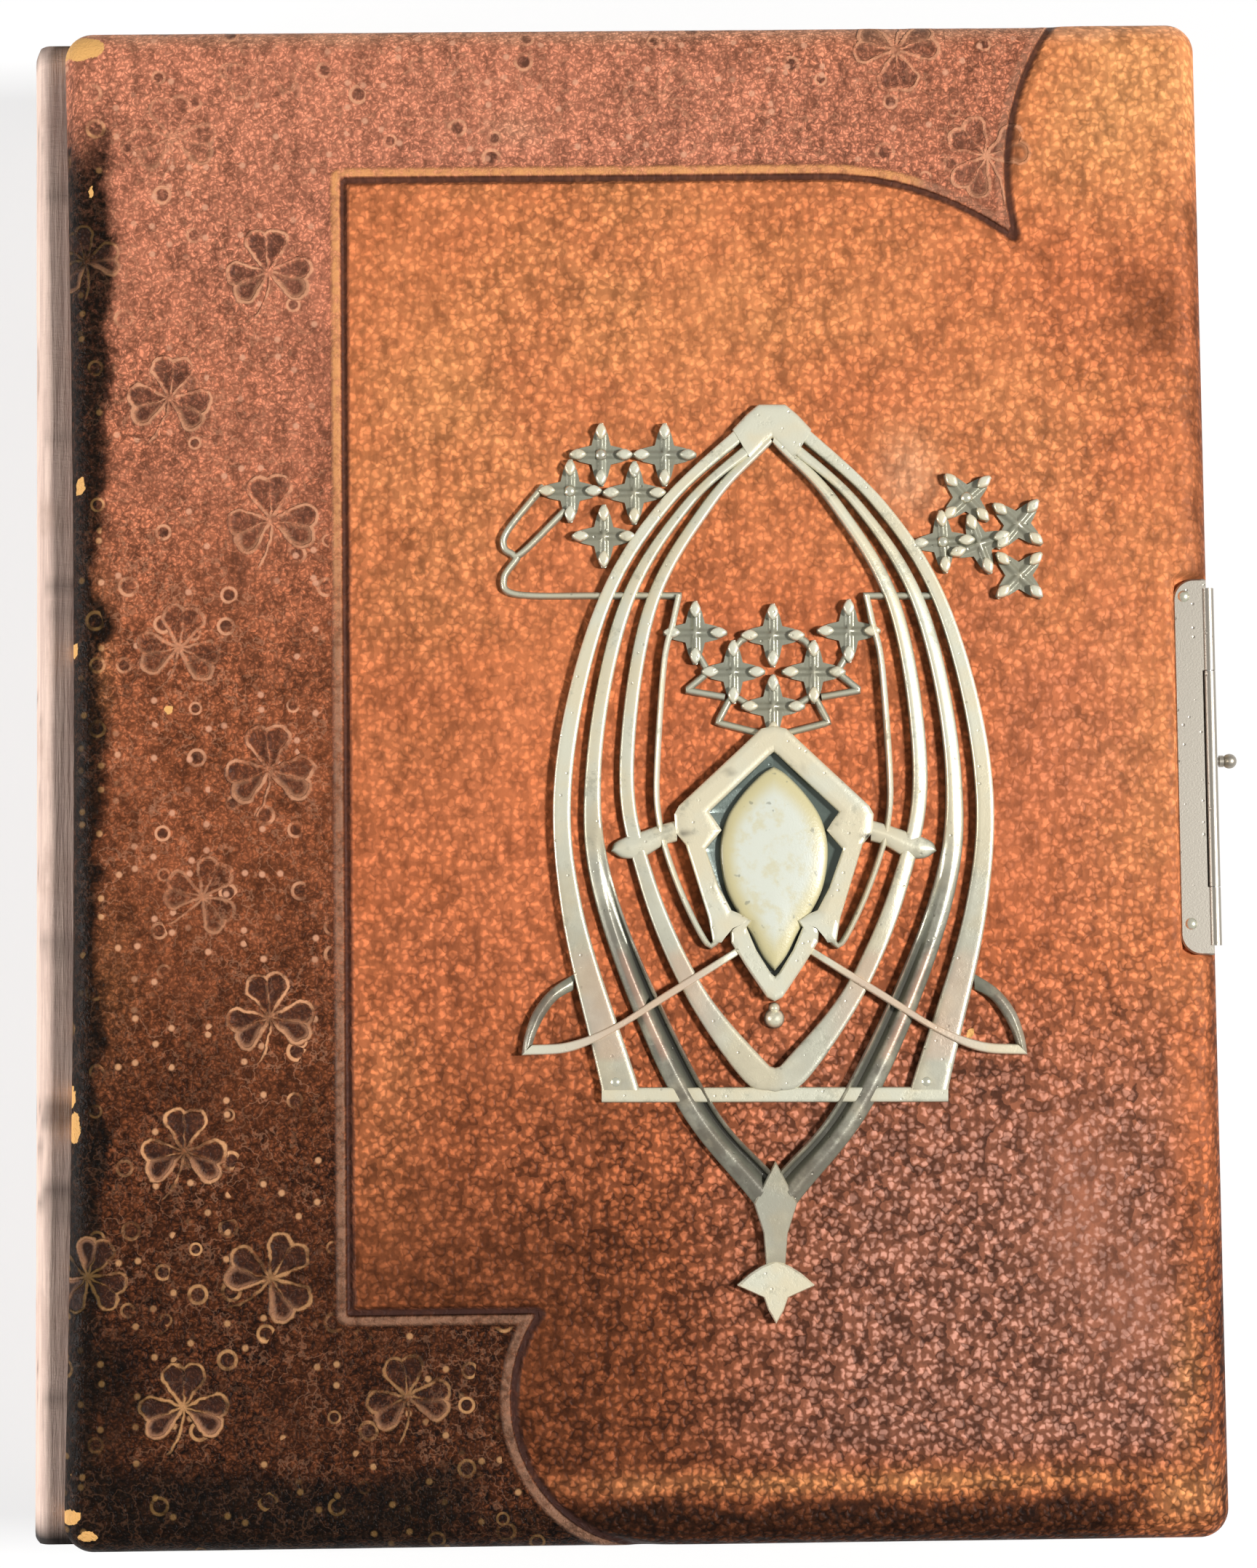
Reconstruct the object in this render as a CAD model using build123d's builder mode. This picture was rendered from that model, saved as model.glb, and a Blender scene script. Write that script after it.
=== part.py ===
"""Antique photo album: two hinged covers, a block of thick leaves, a cast ornament and a hasp clasp.

The album lies on its back cover. +Z is up, +Y runs to the head, the spine is at -X and the
fore-edge at +X. The origin is the middle of the back cover's underside. Millimetres.
"""
from build123d import *
from math import sqrt
import os

os.makedirs("parts", exist_ok=True)

# Covers
COVER_WIDTH = 215.0
COVER_HEIGHT = 285.0
COVER_CORNER = 5.5
LEATHER = 1.0
BOARD = 3.0
PADDING = 4.5
PADDED_EDGE = 5.0
BACK_EDGE = 1.6
TURN_IN = 0.6
TURN_IN_WIDTH = 15.0
PASTEDOWN = 0.4
PASTEDOWN_MARGIN = 5.0
OVERRUN = 2.0

# Sunk border of the front cover, with the bead and groove that part it from the panel
BORDER_DROP = 1.0
BEAD_WIDTH = 2.0
BEAD_RISE = 0.5
GROOVE_WIDTH = 0.9
GROOVE_DEPTH = 0.3
HEAD_CURVE_SHARES = [(0.372, 0.5), (0.33, 0.417), (0.335, 0.355)]
SHOULDER_SHARES = [(0.335, 0.355), (0.265, 0.384), (0.168, 0.397)]
PANEL_RUN_SHARES = [(0.168, 0.397), (-0.255, 0.397), (-0.255, -0.349), (-0.092, -0.349)]
TAIL_CURVE_SHARES = [(-0.092, -0.349), (-0.113, -0.425), (-0.01, -0.5)]

# Clovers pressed in the border: each one's place on the cover, and its turn in degrees
CLOVER_LEAF = 8.0
CLOVER_RISE = 0.3
CLOVER_STEM_WIDTH = 0.6
LEAF_TURNS = (90, 197, -17)
HEART_SHARES = [(0.05, 0.0), (0.526, 0.426), (0.963, 0.293), (0.875, 0.0)]
CLOVER_STEM_SHARES = [(0.0, 0.0), (-0.1, -0.5), (-0.45, -1.0)]
CLOVER_SHARES = [
    (-0.319, 0.335, 4.0), (-0.409, 0.251, -6.0), (-0.317, 0.17, 5.0), (-0.402, 0.086, -8.0),
    (-0.32, 0.005, 3.0), (-0.382, -0.077, -30.0), (-0.321, -0.156, 6.0), (-0.398, -0.242, -2.0),
    (-0.321, -0.325, -35.0), (-0.396, -0.406, 2.0), (-0.204, -0.401, 10.0), (-0.404, 0.426, 5.0),
]

# Block of leaves
LEAF_COUNT = 14
LEAF = 3.0
SQUARE = 4.0
LEAF_CORNER = 3.0
LEAF_GROOVE = 0.35
LEAF_GROOVE_DEPTH = 0.5
COVER_GAP = 0.2
STUB_WIDTH = 4.5
STUB_STEP = 2.5
STUB_INSET = 1.5

# Spine and its cloth joints
HINGE_OUT = 4.5
SPINE_BULGE = 3.5
SPINE_CLOTH = 0.8
SPINE_BOARD = 1.2
SPINE_INSET = 1.0
SPINE_END_GAP = 0.75
SPINE_BOARD_INSET = 2.0
STRIP_END_GAP = 0.85
STRIP_LAP = 3.5

# Cast ornament: half widths and heights of the lancet from the ornament's own centre
ORNAMENT_X = 25.0
ORNAMENT_TURN = -0.6
LANCET_SPREAD = 40.0
LANCET_RISE = 70.0
BAND_HEIGHT = 1.8
BAND_BEVEL = 0.4
BAR_HEIGHT = 1.3
WIRE_WIDTH = 1.0
WIRE_HEIGHT = 1.2
BLADE_HEIGHT = 2.6
BEZEL_HEIGHT = 3.2
BEZEL_FLOOR = 0.8
FINIAL_HEIGHT = 2.0
OUTER_BAND_SHARES = (
    [(0.05, 0.981), (0.54, 0.714), (0.835, 0.43), (1.012, 0.02), (0.99, -0.36), (0.8, -0.843)],
    [(0.625, -0.843), (0.89, -0.357), (0.933, 0.0), (0.768, 0.43), (0.468, 0.714), (0.05, 0.93)],
)
MIDDLE_BAND_SHARES = (
    [(0.02, 0.93), (0.43, 0.714), (0.73, 0.43), (0.875, 0.0), (0.825, -0.357), (0.478, -0.857),
     (0.098, -1.143)],
    [(0.0, -1.07), (0.31, -0.857), (0.712, -0.357), (0.8, 0.0), (0.662, 0.43), (0.37, 0.714),
     (0.02, 0.885)],
)
INNER_BAND_SHARES = (
    [(0.02, 0.91), (0.335, 0.714), (0.61, 0.43), (0.718, 0.0), (0.632, -0.286), (0.435, -0.571),
     (0.168, -0.835)],
    [(-0.02, -0.795), (0.348, -0.571), (0.552, -0.286), (0.648, 0.0), (0.543, 0.43), (0.268, 0.714),
     (0.0, 0.881)],
)
CAP_SHARES = [(0.0, 0.881), (0.13, 0.9), (0.13, 0.945), (0.05, 0.981), (0.0, 0.981)]
BASE_BAR_SHARES = [(0.0, -0.836), (0.66, -0.836), (0.8, -0.81), (0.8, -0.876), (0.0, -0.876)]
STEM_SHARES = [(0.0, -1.03), (0.1, -1.14), (0.055, -1.22), (0.044, -1.3), (0.0, -1.3)]
FINIAL_SHARES = [(0.0, -1.29), (0.065, -1.305), (0.12, -1.325), (0.18, -1.355), (0.055, -1.387),
                 (0.035, -1.42), (0.0, -1.455)]
BLADE_LOWER_SHARES = [(0.21, -0.5), (0.5, -0.6), (0.75, -0.693), (0.95, -0.743), (1.17, -0.752)]
BLADE_HOOK_SHARES = [(1.17, -0.752), (1.155, -0.7), (1.115, -0.636), (1.035, -0.578), (0.925, -0.536)]
BLADE_INNER_SHARES = [(0.93, -0.579), (1.025, -0.621), (1.08, -0.664), (1.12, -0.724)]
BLADE_UPPER_SHARES = [(1.12, -0.724), (0.95, -0.716), (0.75, -0.673), (0.5, -0.583), (0.21, -0.482)]
INNER_WIRE_SHARES = [(0.438, 0.471), (0.465, 0.4), (0.508, 0.286), (0.52, 0.0), (0.488, -0.143),
                     (0.418, -0.286), (0.307, -0.433)]
CROSS_WIRE_SHARES = [(0.425, 0.471), (0.79, 0.471)]
CROSS_LOOP_SHARES = [(-0.79, 0.471), (-1.19, 0.474), (-1.255, 0.515), (-1.19, 0.574)]
HAIRPIN_SHARES = [(-1.07, 0.766), (-1.235, 0.648), (-1.255, 0.604), (-1.17, 0.586), (-0.97, 0.7)]
GARLAND_WIRES_SHARES = [
    [(0.1, 0.364), (0.188, 0.325)],
    [(0.355, 0.32), (0.3, 0.266), (0.405, 0.217), (0.225, 0.199)],
    [(0.1, 0.174), (0.19, 0.205), (0.258, 0.131), (0.03, 0.098)],
]
CLUSTER_LINKS_SHARES = [
    [(-0.4, 0.85), (-0.28, 0.84)],
    [(-0.53, 0.747), (-0.46, 0.735)],
    [(-0.797, 0.79), (-0.79, 0.69)],
    [(0.98, 0.61), (1.075, 0.572)],
]
BEZEL_OUTER_SHARES = [(0.0, 0.12), (0.06, 0.1), (0.26, 0.0), (0.475, -0.13), (0.462, -0.19),
                      (0.3, -0.433), (0.232, -0.455), (0.212, -0.493), (0.04, -0.62), (0.03, -0.65),
                      (0.0, -0.65)]
BEZEL_INNER_SHARES = [(0.0, 0.043), (0.05, 0.014), (0.312, -0.117), (0.26, -0.163), (0.33, -0.211),
                      (0.215, -0.414), (0.17, -0.471), (0.06, -0.545), (0.0, -0.58)]
ARM_SHARES = [(0.45, -0.13), (0.62, -0.161), (0.74, -0.19), (0.755, -0.213), (0.7, -0.231),
              (0.6, -0.226), (0.512, -0.197), (0.45, -0.186)]
CABOCHON_SHARES = [(0.0, 0.03), (0.12, -0.025), (0.212, -0.086), (0.245, -0.186), (0.205, -0.3),
                   (0.125, -0.4), (0.065, -0.479), (0.0, -0.529)]
CABOCHON_HEIGHT = 2.6
CABOCHON_DOME = 1.3
BEAD_PLACE_SHARE = -0.671
BEAD_RADIUS = 1.8
BEAD_TAPER = 20.0
FLORET_RADIUS = 6.1
FLORET_PLATE = 1.0
PETAL_COUNT = 4
PETAL_HEIGHT = 1.1
PETAL_TAPER = 28.0
STAR_SHARES = [(1.0, -0.06), (1.0, 0.06), (0.64, 0.22), (0.3, 0.3), (0.22, 0.64)]
PETAL_SHARES = [(0.38, 0.0), (0.5, -0.14), (0.75, -0.17), (0.92, 0.0), (0.75, 0.17), (0.5, 0.14)]
# Each floret's place, and its turn in degrees; the right-hand group is bent out of line
FLORET_SHARES = [
    (-0.8, 0.85, 0.0), (-0.503, 0.85, 0.0), (-0.945, 0.752, 0.0), (-0.645, 0.747, 0.0),
    (-0.788, 0.63, 0.0), (-0.362, 0.371, 0.0), (0.0, 0.364, 0.0), (0.355, 0.376, 0.0),
    (-0.185, 0.266, 0.0), (0.19, 0.266, 0.0), (0.0, 0.174, 0.0), (0.912, 0.735, 42.0),
    (0.8, 0.616, 4.0), (0.97, 0.61, 20.0), (1.15, 0.664, 50.0), (1.155, 0.526, 45.0),
]

# Pins that hold the ornament
PIN_HEAD = 1.1
PIN_HEAD_RISE = 0.7
PIN_SHANK = 0.5
PIN_LENGTH = 9.0
PIN_HOLE = 8.2
BAR_PIN_SHARES = [(-0.735, -0.822), (0.7, -0.822)]
FLORET_PIN_SHARES = [(-0.8, 0.85), (-0.945, 0.752), (0.912, 0.735), (0.8, 0.616)]

# Clasp hinge plate on the front cover's fore-edge
CLASP_Y = 0.3
CLASP_LENGTH = 70.6
CLASP_CORNER = 4.0
PLATE_WIDTH = 6.6
PLATE = 0.8
PLATE_DROP = 1.5
PLATE_BEVEL = 0.3
PLATE_CLEARANCE = 0.15
BARREL_RADIUS = 1.1
BARREL_MARGIN = 1.8
BARREL_INSET = 0.2
BARREL_CLEARANCE = 0.25
KNUCKLE_GAP = 0.15
HASP_WIDTH = 40.4
HASP_OFFSET = -2.3
HINGE_PIN_RADIUS = 0.5
PIN_FIT = 0.05
NAIL_HEAD = 1.1
NAIL_HEAD_RISE = 0.5
NAIL_SHANK = 0.45
NAIL_LENGTH = 6.0
NAIL_PITCH = 61.5
NAIL_OFFSET = 1.3
NAIL_INSET = 2.0

# Hasp leaf, latch and catch
LATCH_Y = 3.5
HASP_ROUND = 5.0
HASP_LEAF = 0.7
HASP_FOOT = 6.5
HASP_FOOT_WIDTH = 22.0
HASP_SHOULDER = 12.0
HASP_TAPER = 16.0
SLIDE_GAP = 0.12
SLIDE_THICKNESS = 2.0
SLIDE_WIDTH = 6.0
SLIDE_HEIGHT = 17.0
TONGUE = 0.5
TONGUE_LENGTH = 3.2
TONGUE_ROUND = 1.0
LATCH_TRAVEL = 3.2
CASE_WALL = 0.5
CASE_HEIGHT = 27.0
CASE_LIFT = 0.9
KNOB_LIFT = 13.0
KNOB_STEM = 0.78
KNOB_BALL = 1.45
KNOB_REACH = 9.0
KNOB_COLLAR = 1.15
KNOB_COLLAR_LENGTH = 0.8
KNOB_TENON = 0.5
KNOB_TENON_LENGTH = 1.2
SPRING_REACH = 2.2
SPRING_STRIP = 0.3
SPRING_WIDTH = 1.2
SPRING_BEND = 0.3
SPRING_RUNS = 9
CATCH_PLATE = 0.6
CATCH_LENGTH = 22.0
CATCH_WIDTH = 3.2
CATCH_WALL = 0.8
CATCH_RISE = 8.0
CATCH_UPRIGHT_WIDTH = 8.0
CATCH_SETBACK = 0.6
CATCH_ROUND = 2.0
CATCH_NAIL_PITCH = 15.0
CATCH_NAIL_INSET = 2.0
CATCH_NAIL_LENGTH = 3.0
CATCH_NAIL_HEAD = 0.9

# Heights, from the table up
BACK_BOARD_BOTTOM = LEATHER
BACK_TURN_IN = LEATHER + BOARD
BACK_SKIN = BACK_TURN_IN + TURN_IN
BACK_TOP = BACK_SKIN + PASTEDOWN
BLOCK_BOTTOM = BACK_TOP + COVER_GAP
BLOCK_HEIGHT = LEAF_COUNT * LEAF
BLOCK_TOP = BLOCK_BOTTOM + BLOCK_HEIGHT
FRONT_UNDER = BLOCK_TOP + COVER_GAP
FRONT_SKIN = FRONT_UNDER + PASTEDOWN
FRONT_BOARD_BOTTOM = FRONT_SKIN + TURN_IN
FRONT_BOARD_TOP = FRONT_BOARD_BOTTOM + BOARD
FRONT_TOP = FRONT_BOARD_TOP + PADDING + LEATHER
PLATE_BOTTOM = FRONT_TOP - PLATE_DROP - PLATE
BARREL_Z = PLATE_BOTTOM + PLATE / 2

# Places across the album
BLOCK_LEFT = -COVER_WIDTH / 2 + STUB_WIDTH
BLOCK_RIGHT = COVER_WIDTH / 2 - SQUARE
BLOCK_LENGTH = COVER_HEIGHT - 2 * SQUARE
HINGE_X = -COVER_WIDTH / 2 - HINGE_OUT
HALF_SPINE = (FRONT_UNDER - BACK_TOP) / 2
SPINE_RADIUS = (HALF_SPINE**2 + SPINE_BULGE**2) / (2 * SPINE_BULGE)
SPINE_CENTRE = (HINGE_X - SPINE_BULGE + SPINE_RADIUS, BACK_TOP + HALF_SPINE)
SPINE_LENGTH = COVER_HEIGHT - 2 * SPINE_INSET
BARREL_X = COVER_WIDTH / 2 - BARREL_INSET
BARREL_LENGTH = CLASP_LENGTH - 2 * BARREL_MARGIN
HASP_Y = CLASP_Y + HASP_OFFSET
LEAF_OUTER = BARREL_X + BARREL_RADIUS
LEAF_INNER = LEAF_OUTER - HASP_LEAF
SLIDE_OUTER = LEAF_INNER - SLIDE_GAP
SLIDE_INNER = SLIDE_OUTER - SLIDE_THICKNESS
CATCH_OUTER = LEAF_INNER - CATCH_SETBACK
CATCH_TOP = BACK_SKIN + CATCH_PLATE + CATCH_RISE
SLIDE_BOTTOM = CATCH_TOP + COVER_GAP
SLIDE_TOP = SLIDE_BOTTOM + SLIDE_HEIGHT
KNOB_Z = SLIDE_BOTTOM + KNOB_LIFT
CASE_BOTTOM = SLIDE_BOTTOM + CASE_LIFT
CASE_TOP = CASE_BOTTOM + CASE_HEIGHT
PLATE_NAILS = [(BARREL_X - PLATE_WIDTH + NAIL_INSET, CLASP_Y + NAIL_OFFSET + side * NAIL_PITCH / 2)
               for side in (1, -1)]
CATCH_NAILS = [(CATCH_OUTER - CATCH_NAIL_INSET, LATCH_Y + side * CATCH_NAIL_PITCH / 2) for side in (1, -1)]


def ornament_plane(height=0.0):
    """The ornament's own plane, turned on the cover as the casting is, at a height above the leather."""
    return Plane(origin=(ORNAMENT_X, 0, FRONT_TOP + height)).rotated((0, 0, ORNAMENT_TURN))


def lancet(shares):
    """Places on the ornament from shares of the lancet's half width and rise."""
    return [(across * LANCET_SPREAD, up * LANCET_RISE) for across, up in shares]


def on_cover(shares):
    """Places on the cover from shares of its width and height."""
    return [(across * COVER_WIDTH, up * COVER_HEIGHT) for across, up in shares]


def cover_outline(inset):
    """The cover's rounded rectangle, inside its edge by an inset."""
    return RectangleRounded(COVER_WIDTH - 2 * inset, COVER_HEIGHT - 2 * inset, COVER_CORNER - inset)


def sunk_border():
    """The border's face: the spine side, the head strip and the lower corner, past the cover's edge."""
    head, tail = on_cover([HEAD_CURVE_SHARES[0], TAIL_CURVE_SHARES[-1]])
    far_x, far_y = COVER_WIDTH / 2 + OVERRUN, COVER_HEIGHT / 2 + OVERRUN
    with BuildSketch() as border:
        with BuildLine():
            ThreePointArc(*on_cover(HEAD_CURVE_SHARES))
            ThreePointArc(*on_cover(SHOULDER_SHARES))
            Polyline(*on_cover(PANEL_RUN_SHARES))
            ThreePointArc(*on_cover(TAIL_CURVE_SHARES))
            Polyline(tail, (tail[0], -far_y), (-far_x, -far_y), (-far_x, far_y), (head[0], far_y), head)
        make_face()
    return border.sketch


def clover():
    """One pressed clover: three heart leaves and a bent stem."""
    base, side, tip, notch = [Vector(along, across) * CLOVER_LEAF for along, across in HEART_SHARES]
    with BuildSketch() as leaf:
        with BuildLine():
            Line(base, side)
            ThreePointArc(side, tip, notch)
            mirror(about=Plane.XZ)
        make_face()
    with BuildSketch() as one:
        for turn in LEAF_TURNS:
            add(leaf.sketch, rotation=turn)
        trace(ThreePointArc(*[Vector(across, up) * CLOVER_LEAF for across, up in CLOVER_STEM_SHARES]),
              CLOVER_STEM_WIDTH)
    return one.sketch


def clasp_pocket(grow):
    """The sunk place of the hinge plate, larger by grow on every side, open at the fore-edge."""
    with BuildSketch() as pocket:
        with Locations((BARREL_X - PLATE_WIDTH - grow, CLASP_Y)):
            RectangleRounded(
                2 * PLATE_WIDTH, CLASP_LENGTH + 2 * grow, CLASP_CORNER, align=(Align.MIN, Align.CENTER)
            )
    return pocket.sketch


def barrel_recess(grow):
    """The deeper strip under the hinge barrel, larger by grow on every side."""
    reach = BARREL_RADIUS + BARREL_CLEARANCE + grow
    with BuildSketch() as recess:
        with Locations((BARREL_X - reach, CLASP_Y)):
            Rectangle(
                2 * reach, BARREL_LENGTH + 2 * (BARREL_CLEARANCE + grow), align=(Align.MIN, Align.CENTER)
            )
    return recess.sketch


def cushion(inset, bottom):
    """The padded cover's form, lying inside its own surface by an inset, from a bottom height up."""
    top = FRONT_TOP - inset
    cuts = [
        (offset(sunk_border(), amount=GROOVE_WIDTH + inset, mode=Mode.PRIVATE), top - BORDER_DROP),
        (clasp_pocket(PLATE_CLEARANCE + inset), PLATE_BOTTOM - inset),
        (barrel_recess(inset), BARREL_Z - BARREL_RADIUS - BARREL_CLEARANCE - inset),
    ]
    with BuildPart() as body:
        with BuildSketch(Plane.XY.offset(bottom)):
            cover_outline(inset)
        extrude(amount=top - bottom)
        fillet(body.faces().sort_by(Axis.Z)[-1].edges(), PADDED_EDGE - inset)
        for region, floor in cuts:
            with BuildSketch(Plane.XY.offset(floor)):
                add(region)
            extrude(amount=FRONT_TOP - floor + OVERRUN, mode=Mode.SUBTRACT)
    return body.part


def extruded(shares, height, floor=0.0):
    """A straight-sided form of the ornament's right half, up to a height, from a floor or the leather."""
    with BuildPart() as form:
        with BuildSketch(ornament_plane(floor)):
            with BuildLine():
                Polyline(*lancet(shares), close=True)
            make_face()
        extrude(amount=height - floor)
    return form.part


def banded(edges, height, bevel=0.0):
    """A raised form between curved edges, each a spline through its own shares."""
    with BuildPart() as form:
        with BuildSketch(ornament_plane()):
            with BuildLine():
                for shares in edges:
                    Spline(*lancet(shares))
                for first, second in zip(edges, edges[1:] + edges[:1]):
                    if first[-1] != second[0]:
                        Line(*lancet([first[-1], second[0]]))
            make_face()
        extrude(amount=height)
        if bevel:
            chamfer(form.faces().sort_by(Axis.Z)[-1].edges(), bevel)
    return form.part


def wire(line, height):
    """A square wire of the casting that follows a line on the leather."""
    with BuildPart() as form:
        with BuildSketch(ornament_plane()):
            trace(line, WIRE_WIDTH)
        extrude(amount=height)
    return form.part


def floret():
    """One four-petalled floret: a star plate with a raised lozenge on each petal."""
    with BuildPart() as flower:
        with BuildSketch():
            arm = [Vector(along, across) * FLORET_RADIUS for along, across in STAR_SHARES]
            star = [corner.rotate(Axis.Z, number * 360 / PETAL_COUNT)
                    for number in range(PETAL_COUNT) for corner in arm]
            Polygon(*star, align=None)
        extrude(amount=FLORET_PLATE)
        with BuildSketch(Plane.XY.offset(FLORET_PLATE)):
            with PolarLocations(0, PETAL_COUNT):
                Polygon(*[(along * FLORET_RADIUS, across * FLORET_RADIUS) for along, across in PETAL_SHARES],
                        align=None)
        extrude(amount=PETAL_HEIGHT, taper=PETAL_TAPER)
    return flower.part


def nail(head, rise, shank, length):
    """A round-headed nail, its head's underside at height zero."""
    with BuildPart() as one:
        with BuildSketch(Plane.XZ):
            with BuildLine():
                Polyline((0, rise), (0, -length), (shank, -length + shank), (shank, 0), (head, 0))
                TangentArc((0, rise), (head, 0), tangent=(1, 0))
            make_face()
        revolve(axis=Axis.Z)
    return one.part


def shank_room(plane, places, radius, length):
    """Round room for shanks, standing on a plane at the given places."""
    with BuildPart() as room:
        with BuildSketch(plane):
            with Locations(*places):
                Circle(radius)
        extrude(amount=length)
    return room.part


def spine_ring(outer, inner, end_gap):
    """A curved strip of the spine between two radii, cut short of the covers by an end gap."""
    height = 2 * (HALF_SPINE - end_gap)
    with BuildPart() as ring:
        with BuildSketch(Plane.XZ):
            with Locations(SPINE_CENTRE):
                Circle(outer)
                Circle(inner, mode=Mode.SUBTRACT)
            with Locations((BLOCK_LEFT, SPINE_CENTRE[1])):
                Rectangle(SPINE_RADIUS, height, align=(Align.MAX, Align.CENTER), mode=Mode.INTERSECT)
        extrude(amount=SPINE_LENGTH / 2, both=True)
    return ring.part


def joint_strip(axis_height):
    """The strip of cloth that joins a cover to the spine, lying on the cover's turned-in leather."""
    with BuildPart() as strip:
        with BuildSketch(Plane.XZ):
            with Locations((HINGE_X + STRIP_END_GAP, axis_height)):
                Rectangle(
                    HINGE_OUT - STRIP_END_GAP + STRIP_LAP, SPINE_CLOTH, align=(Align.MIN, Align.CENTER)
                )
        extrude(amount=SPINE_LENGTH / 2, both=True)
    return strip.part


# Room for the shanks of the pins and nails, cut in all that they pass through

pin_room = shank_room(
    ornament_plane(-PIN_HOLE), lancet(BAR_PIN_SHARES + FLORET_PIN_SHARES), PIN_SHANK, PIN_HOLE + BEZEL_HEIGHT
)
plate_nail_room = shank_room(
    Plane.XY.offset(PLATE_BOTTOM + PLATE - NAIL_LENGTH), PLATE_NAILS, NAIL_SHANK, NAIL_LENGTH
)
catch_nail_room = shank_room(
    Plane.XY.offset(BACK_SKIN + CATCH_PLATE - CATCH_NAIL_LENGTH), CATCH_NAILS, NAIL_SHANK, CATCH_NAIL_LENGTH
)

# Front cover

with BuildPart() as front_leather:
    add(cushion(0, FRONT_SKIN))
    add(cushion(LEATHER, FRONT_BOARD_BOTTOM), mode=Mode.SUBTRACT)
    with BuildSketch(Plane.XY.offset(FRONT_SKIN)):
        Rectangle(COVER_WIDTH - 2 * TURN_IN_WIDTH, COVER_HEIGHT - 2 * TURN_IN_WIDTH)
    extrude(amount=TURN_IN, mode=Mode.SUBTRACT)
    border = sunk_border()
    with BuildSketch(Plane.XY.offset(FRONT_TOP - BORDER_DROP)):
        add(border)
        offset(border, amount=-BEAD_WIDTH, mode=Mode.SUBTRACT)
        Rectangle(COVER_WIDTH - PADDED_EDGE, COVER_HEIGHT - PADDED_EDGE, mode=Mode.INTERSECT)
    extrude(amount=BEAD_RISE)
    with BuildSketch(Plane.XY.offset(FRONT_TOP - BORDER_DROP)):
        pressed = clover()
        for across, up, turn in CLOVER_SHARES:
            with Locations(Location((across * COVER_WIDTH, up * COVER_HEIGHT), turn)):
                add(pressed)
    extrude(amount=CLOVER_RISE)
    with BuildSketch(Plane.XY.offset(FRONT_TOP - BORDER_DROP)):
        offset(border, amount=GROOVE_WIDTH)
        add(border, mode=Mode.SUBTRACT)
        Rectangle(COVER_WIDTH - PADDED_EDGE, COVER_HEIGHT - PADDED_EDGE, mode=Mode.INTERSECT)
    extrude(amount=-GROOVE_DEPTH, mode=Mode.SUBTRACT)
    add([pin_room, plate_nail_room], mode=Mode.SUBTRACT)

front_leather.part.label = "front_leather"
export_step(front_leather.part, "parts/front_leather.step")

with BuildPart() as front_padding:
    add(cushion(LEATHER, FRONT_BOARD_TOP))
    add([pin_room, plate_nail_room], mode=Mode.SUBTRACT)

front_padding.part.label = "front_padding"
export_step(front_padding.part, "parts/front_padding.step")

with BuildPart() as front_board:
    with BuildSketch(Plane.XY.offset(FRONT_BOARD_BOTTOM)):
        cover_outline(LEATHER)
    extrude(amount=BOARD)
    add([pin_room, plate_nail_room], mode=Mode.SUBTRACT)

front_board.part.label = "front_board"
export_step(front_board.part, "parts/front_board.step")

with BuildPart() as front_pastedown:
    with BuildSketch(Plane.XY.offset(FRONT_UNDER)):
        Rectangle(COVER_WIDTH - 2 * PASTEDOWN_MARGIN, COVER_HEIGHT - 2 * PASTEDOWN_MARGIN)
    extrude(amount=PASTEDOWN)
    with BuildSketch(Plane.XY.offset(FRONT_SKIN)):
        Rectangle(COVER_WIDTH - 2 * TURN_IN_WIDTH, COVER_HEIGHT - 2 * TURN_IN_WIDTH)
    extrude(amount=TURN_IN)

front_pastedown.part.label = "front_pastedown"
export_step(front_pastedown.part, "parts/front_pastedown.step")

with BuildPart() as front_hinge_strip:
    add(joint_strip(FRONT_UNDER))

front_hinge_strip.part.label = "front_hinge_strip"
export_step(front_hinge_strip.part, "parts/front_hinge_strip.step")

# Back cover

with BuildPart() as back_leather:
    with BuildSketch():
        cover_outline(0)
    extrude(amount=BACK_SKIN)
    fillet(back_leather.faces().sort_by(Axis.Z)[0].edges(), BACK_EDGE)
    with BuildSketch(Plane.XY.offset(BACK_BOARD_BOTTOM)):
        cover_outline(LEATHER)
    extrude(amount=BOARD, mode=Mode.SUBTRACT)
    with BuildSketch(Plane.XY.offset(BACK_TURN_IN)):
        Rectangle(COVER_WIDTH - 2 * TURN_IN_WIDTH, COVER_HEIGHT - 2 * TURN_IN_WIDTH)
    extrude(amount=TURN_IN, mode=Mode.SUBTRACT)
    add(catch_nail_room, mode=Mode.SUBTRACT)

back_leather.part.label = "back_leather"
export_step(back_leather.part, "parts/back_leather.step")

with BuildPart() as back_board:
    with BuildSketch(Plane.XY.offset(BACK_BOARD_BOTTOM)):
        cover_outline(LEATHER)
    extrude(amount=BOARD)
    add(catch_nail_room, mode=Mode.SUBTRACT)

back_board.part.label = "back_board"
export_step(back_board.part, "parts/back_board.step")

with BuildPart() as back_pastedown:
    with BuildSketch(Plane.XY.offset(BACK_TURN_IN)):
        Rectangle(COVER_WIDTH - 2 * TURN_IN_WIDTH, COVER_HEIGHT - 2 * TURN_IN_WIDTH)
    extrude(amount=TURN_IN)
    with BuildSketch(Plane.XY.offset(BACK_SKIN)):
        Rectangle(COVER_WIDTH - 2 * PASTEDOWN_MARGIN, COVER_HEIGHT - 2 * PASTEDOWN_MARGIN)
    extrude(amount=PASTEDOWN)

back_pastedown.part.label = "back_pastedown"
export_step(back_pastedown.part, "parts/back_pastedown.step")

with BuildPart() as back_hinge_strip:
    add(joint_strip(BACK_TOP))

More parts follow.
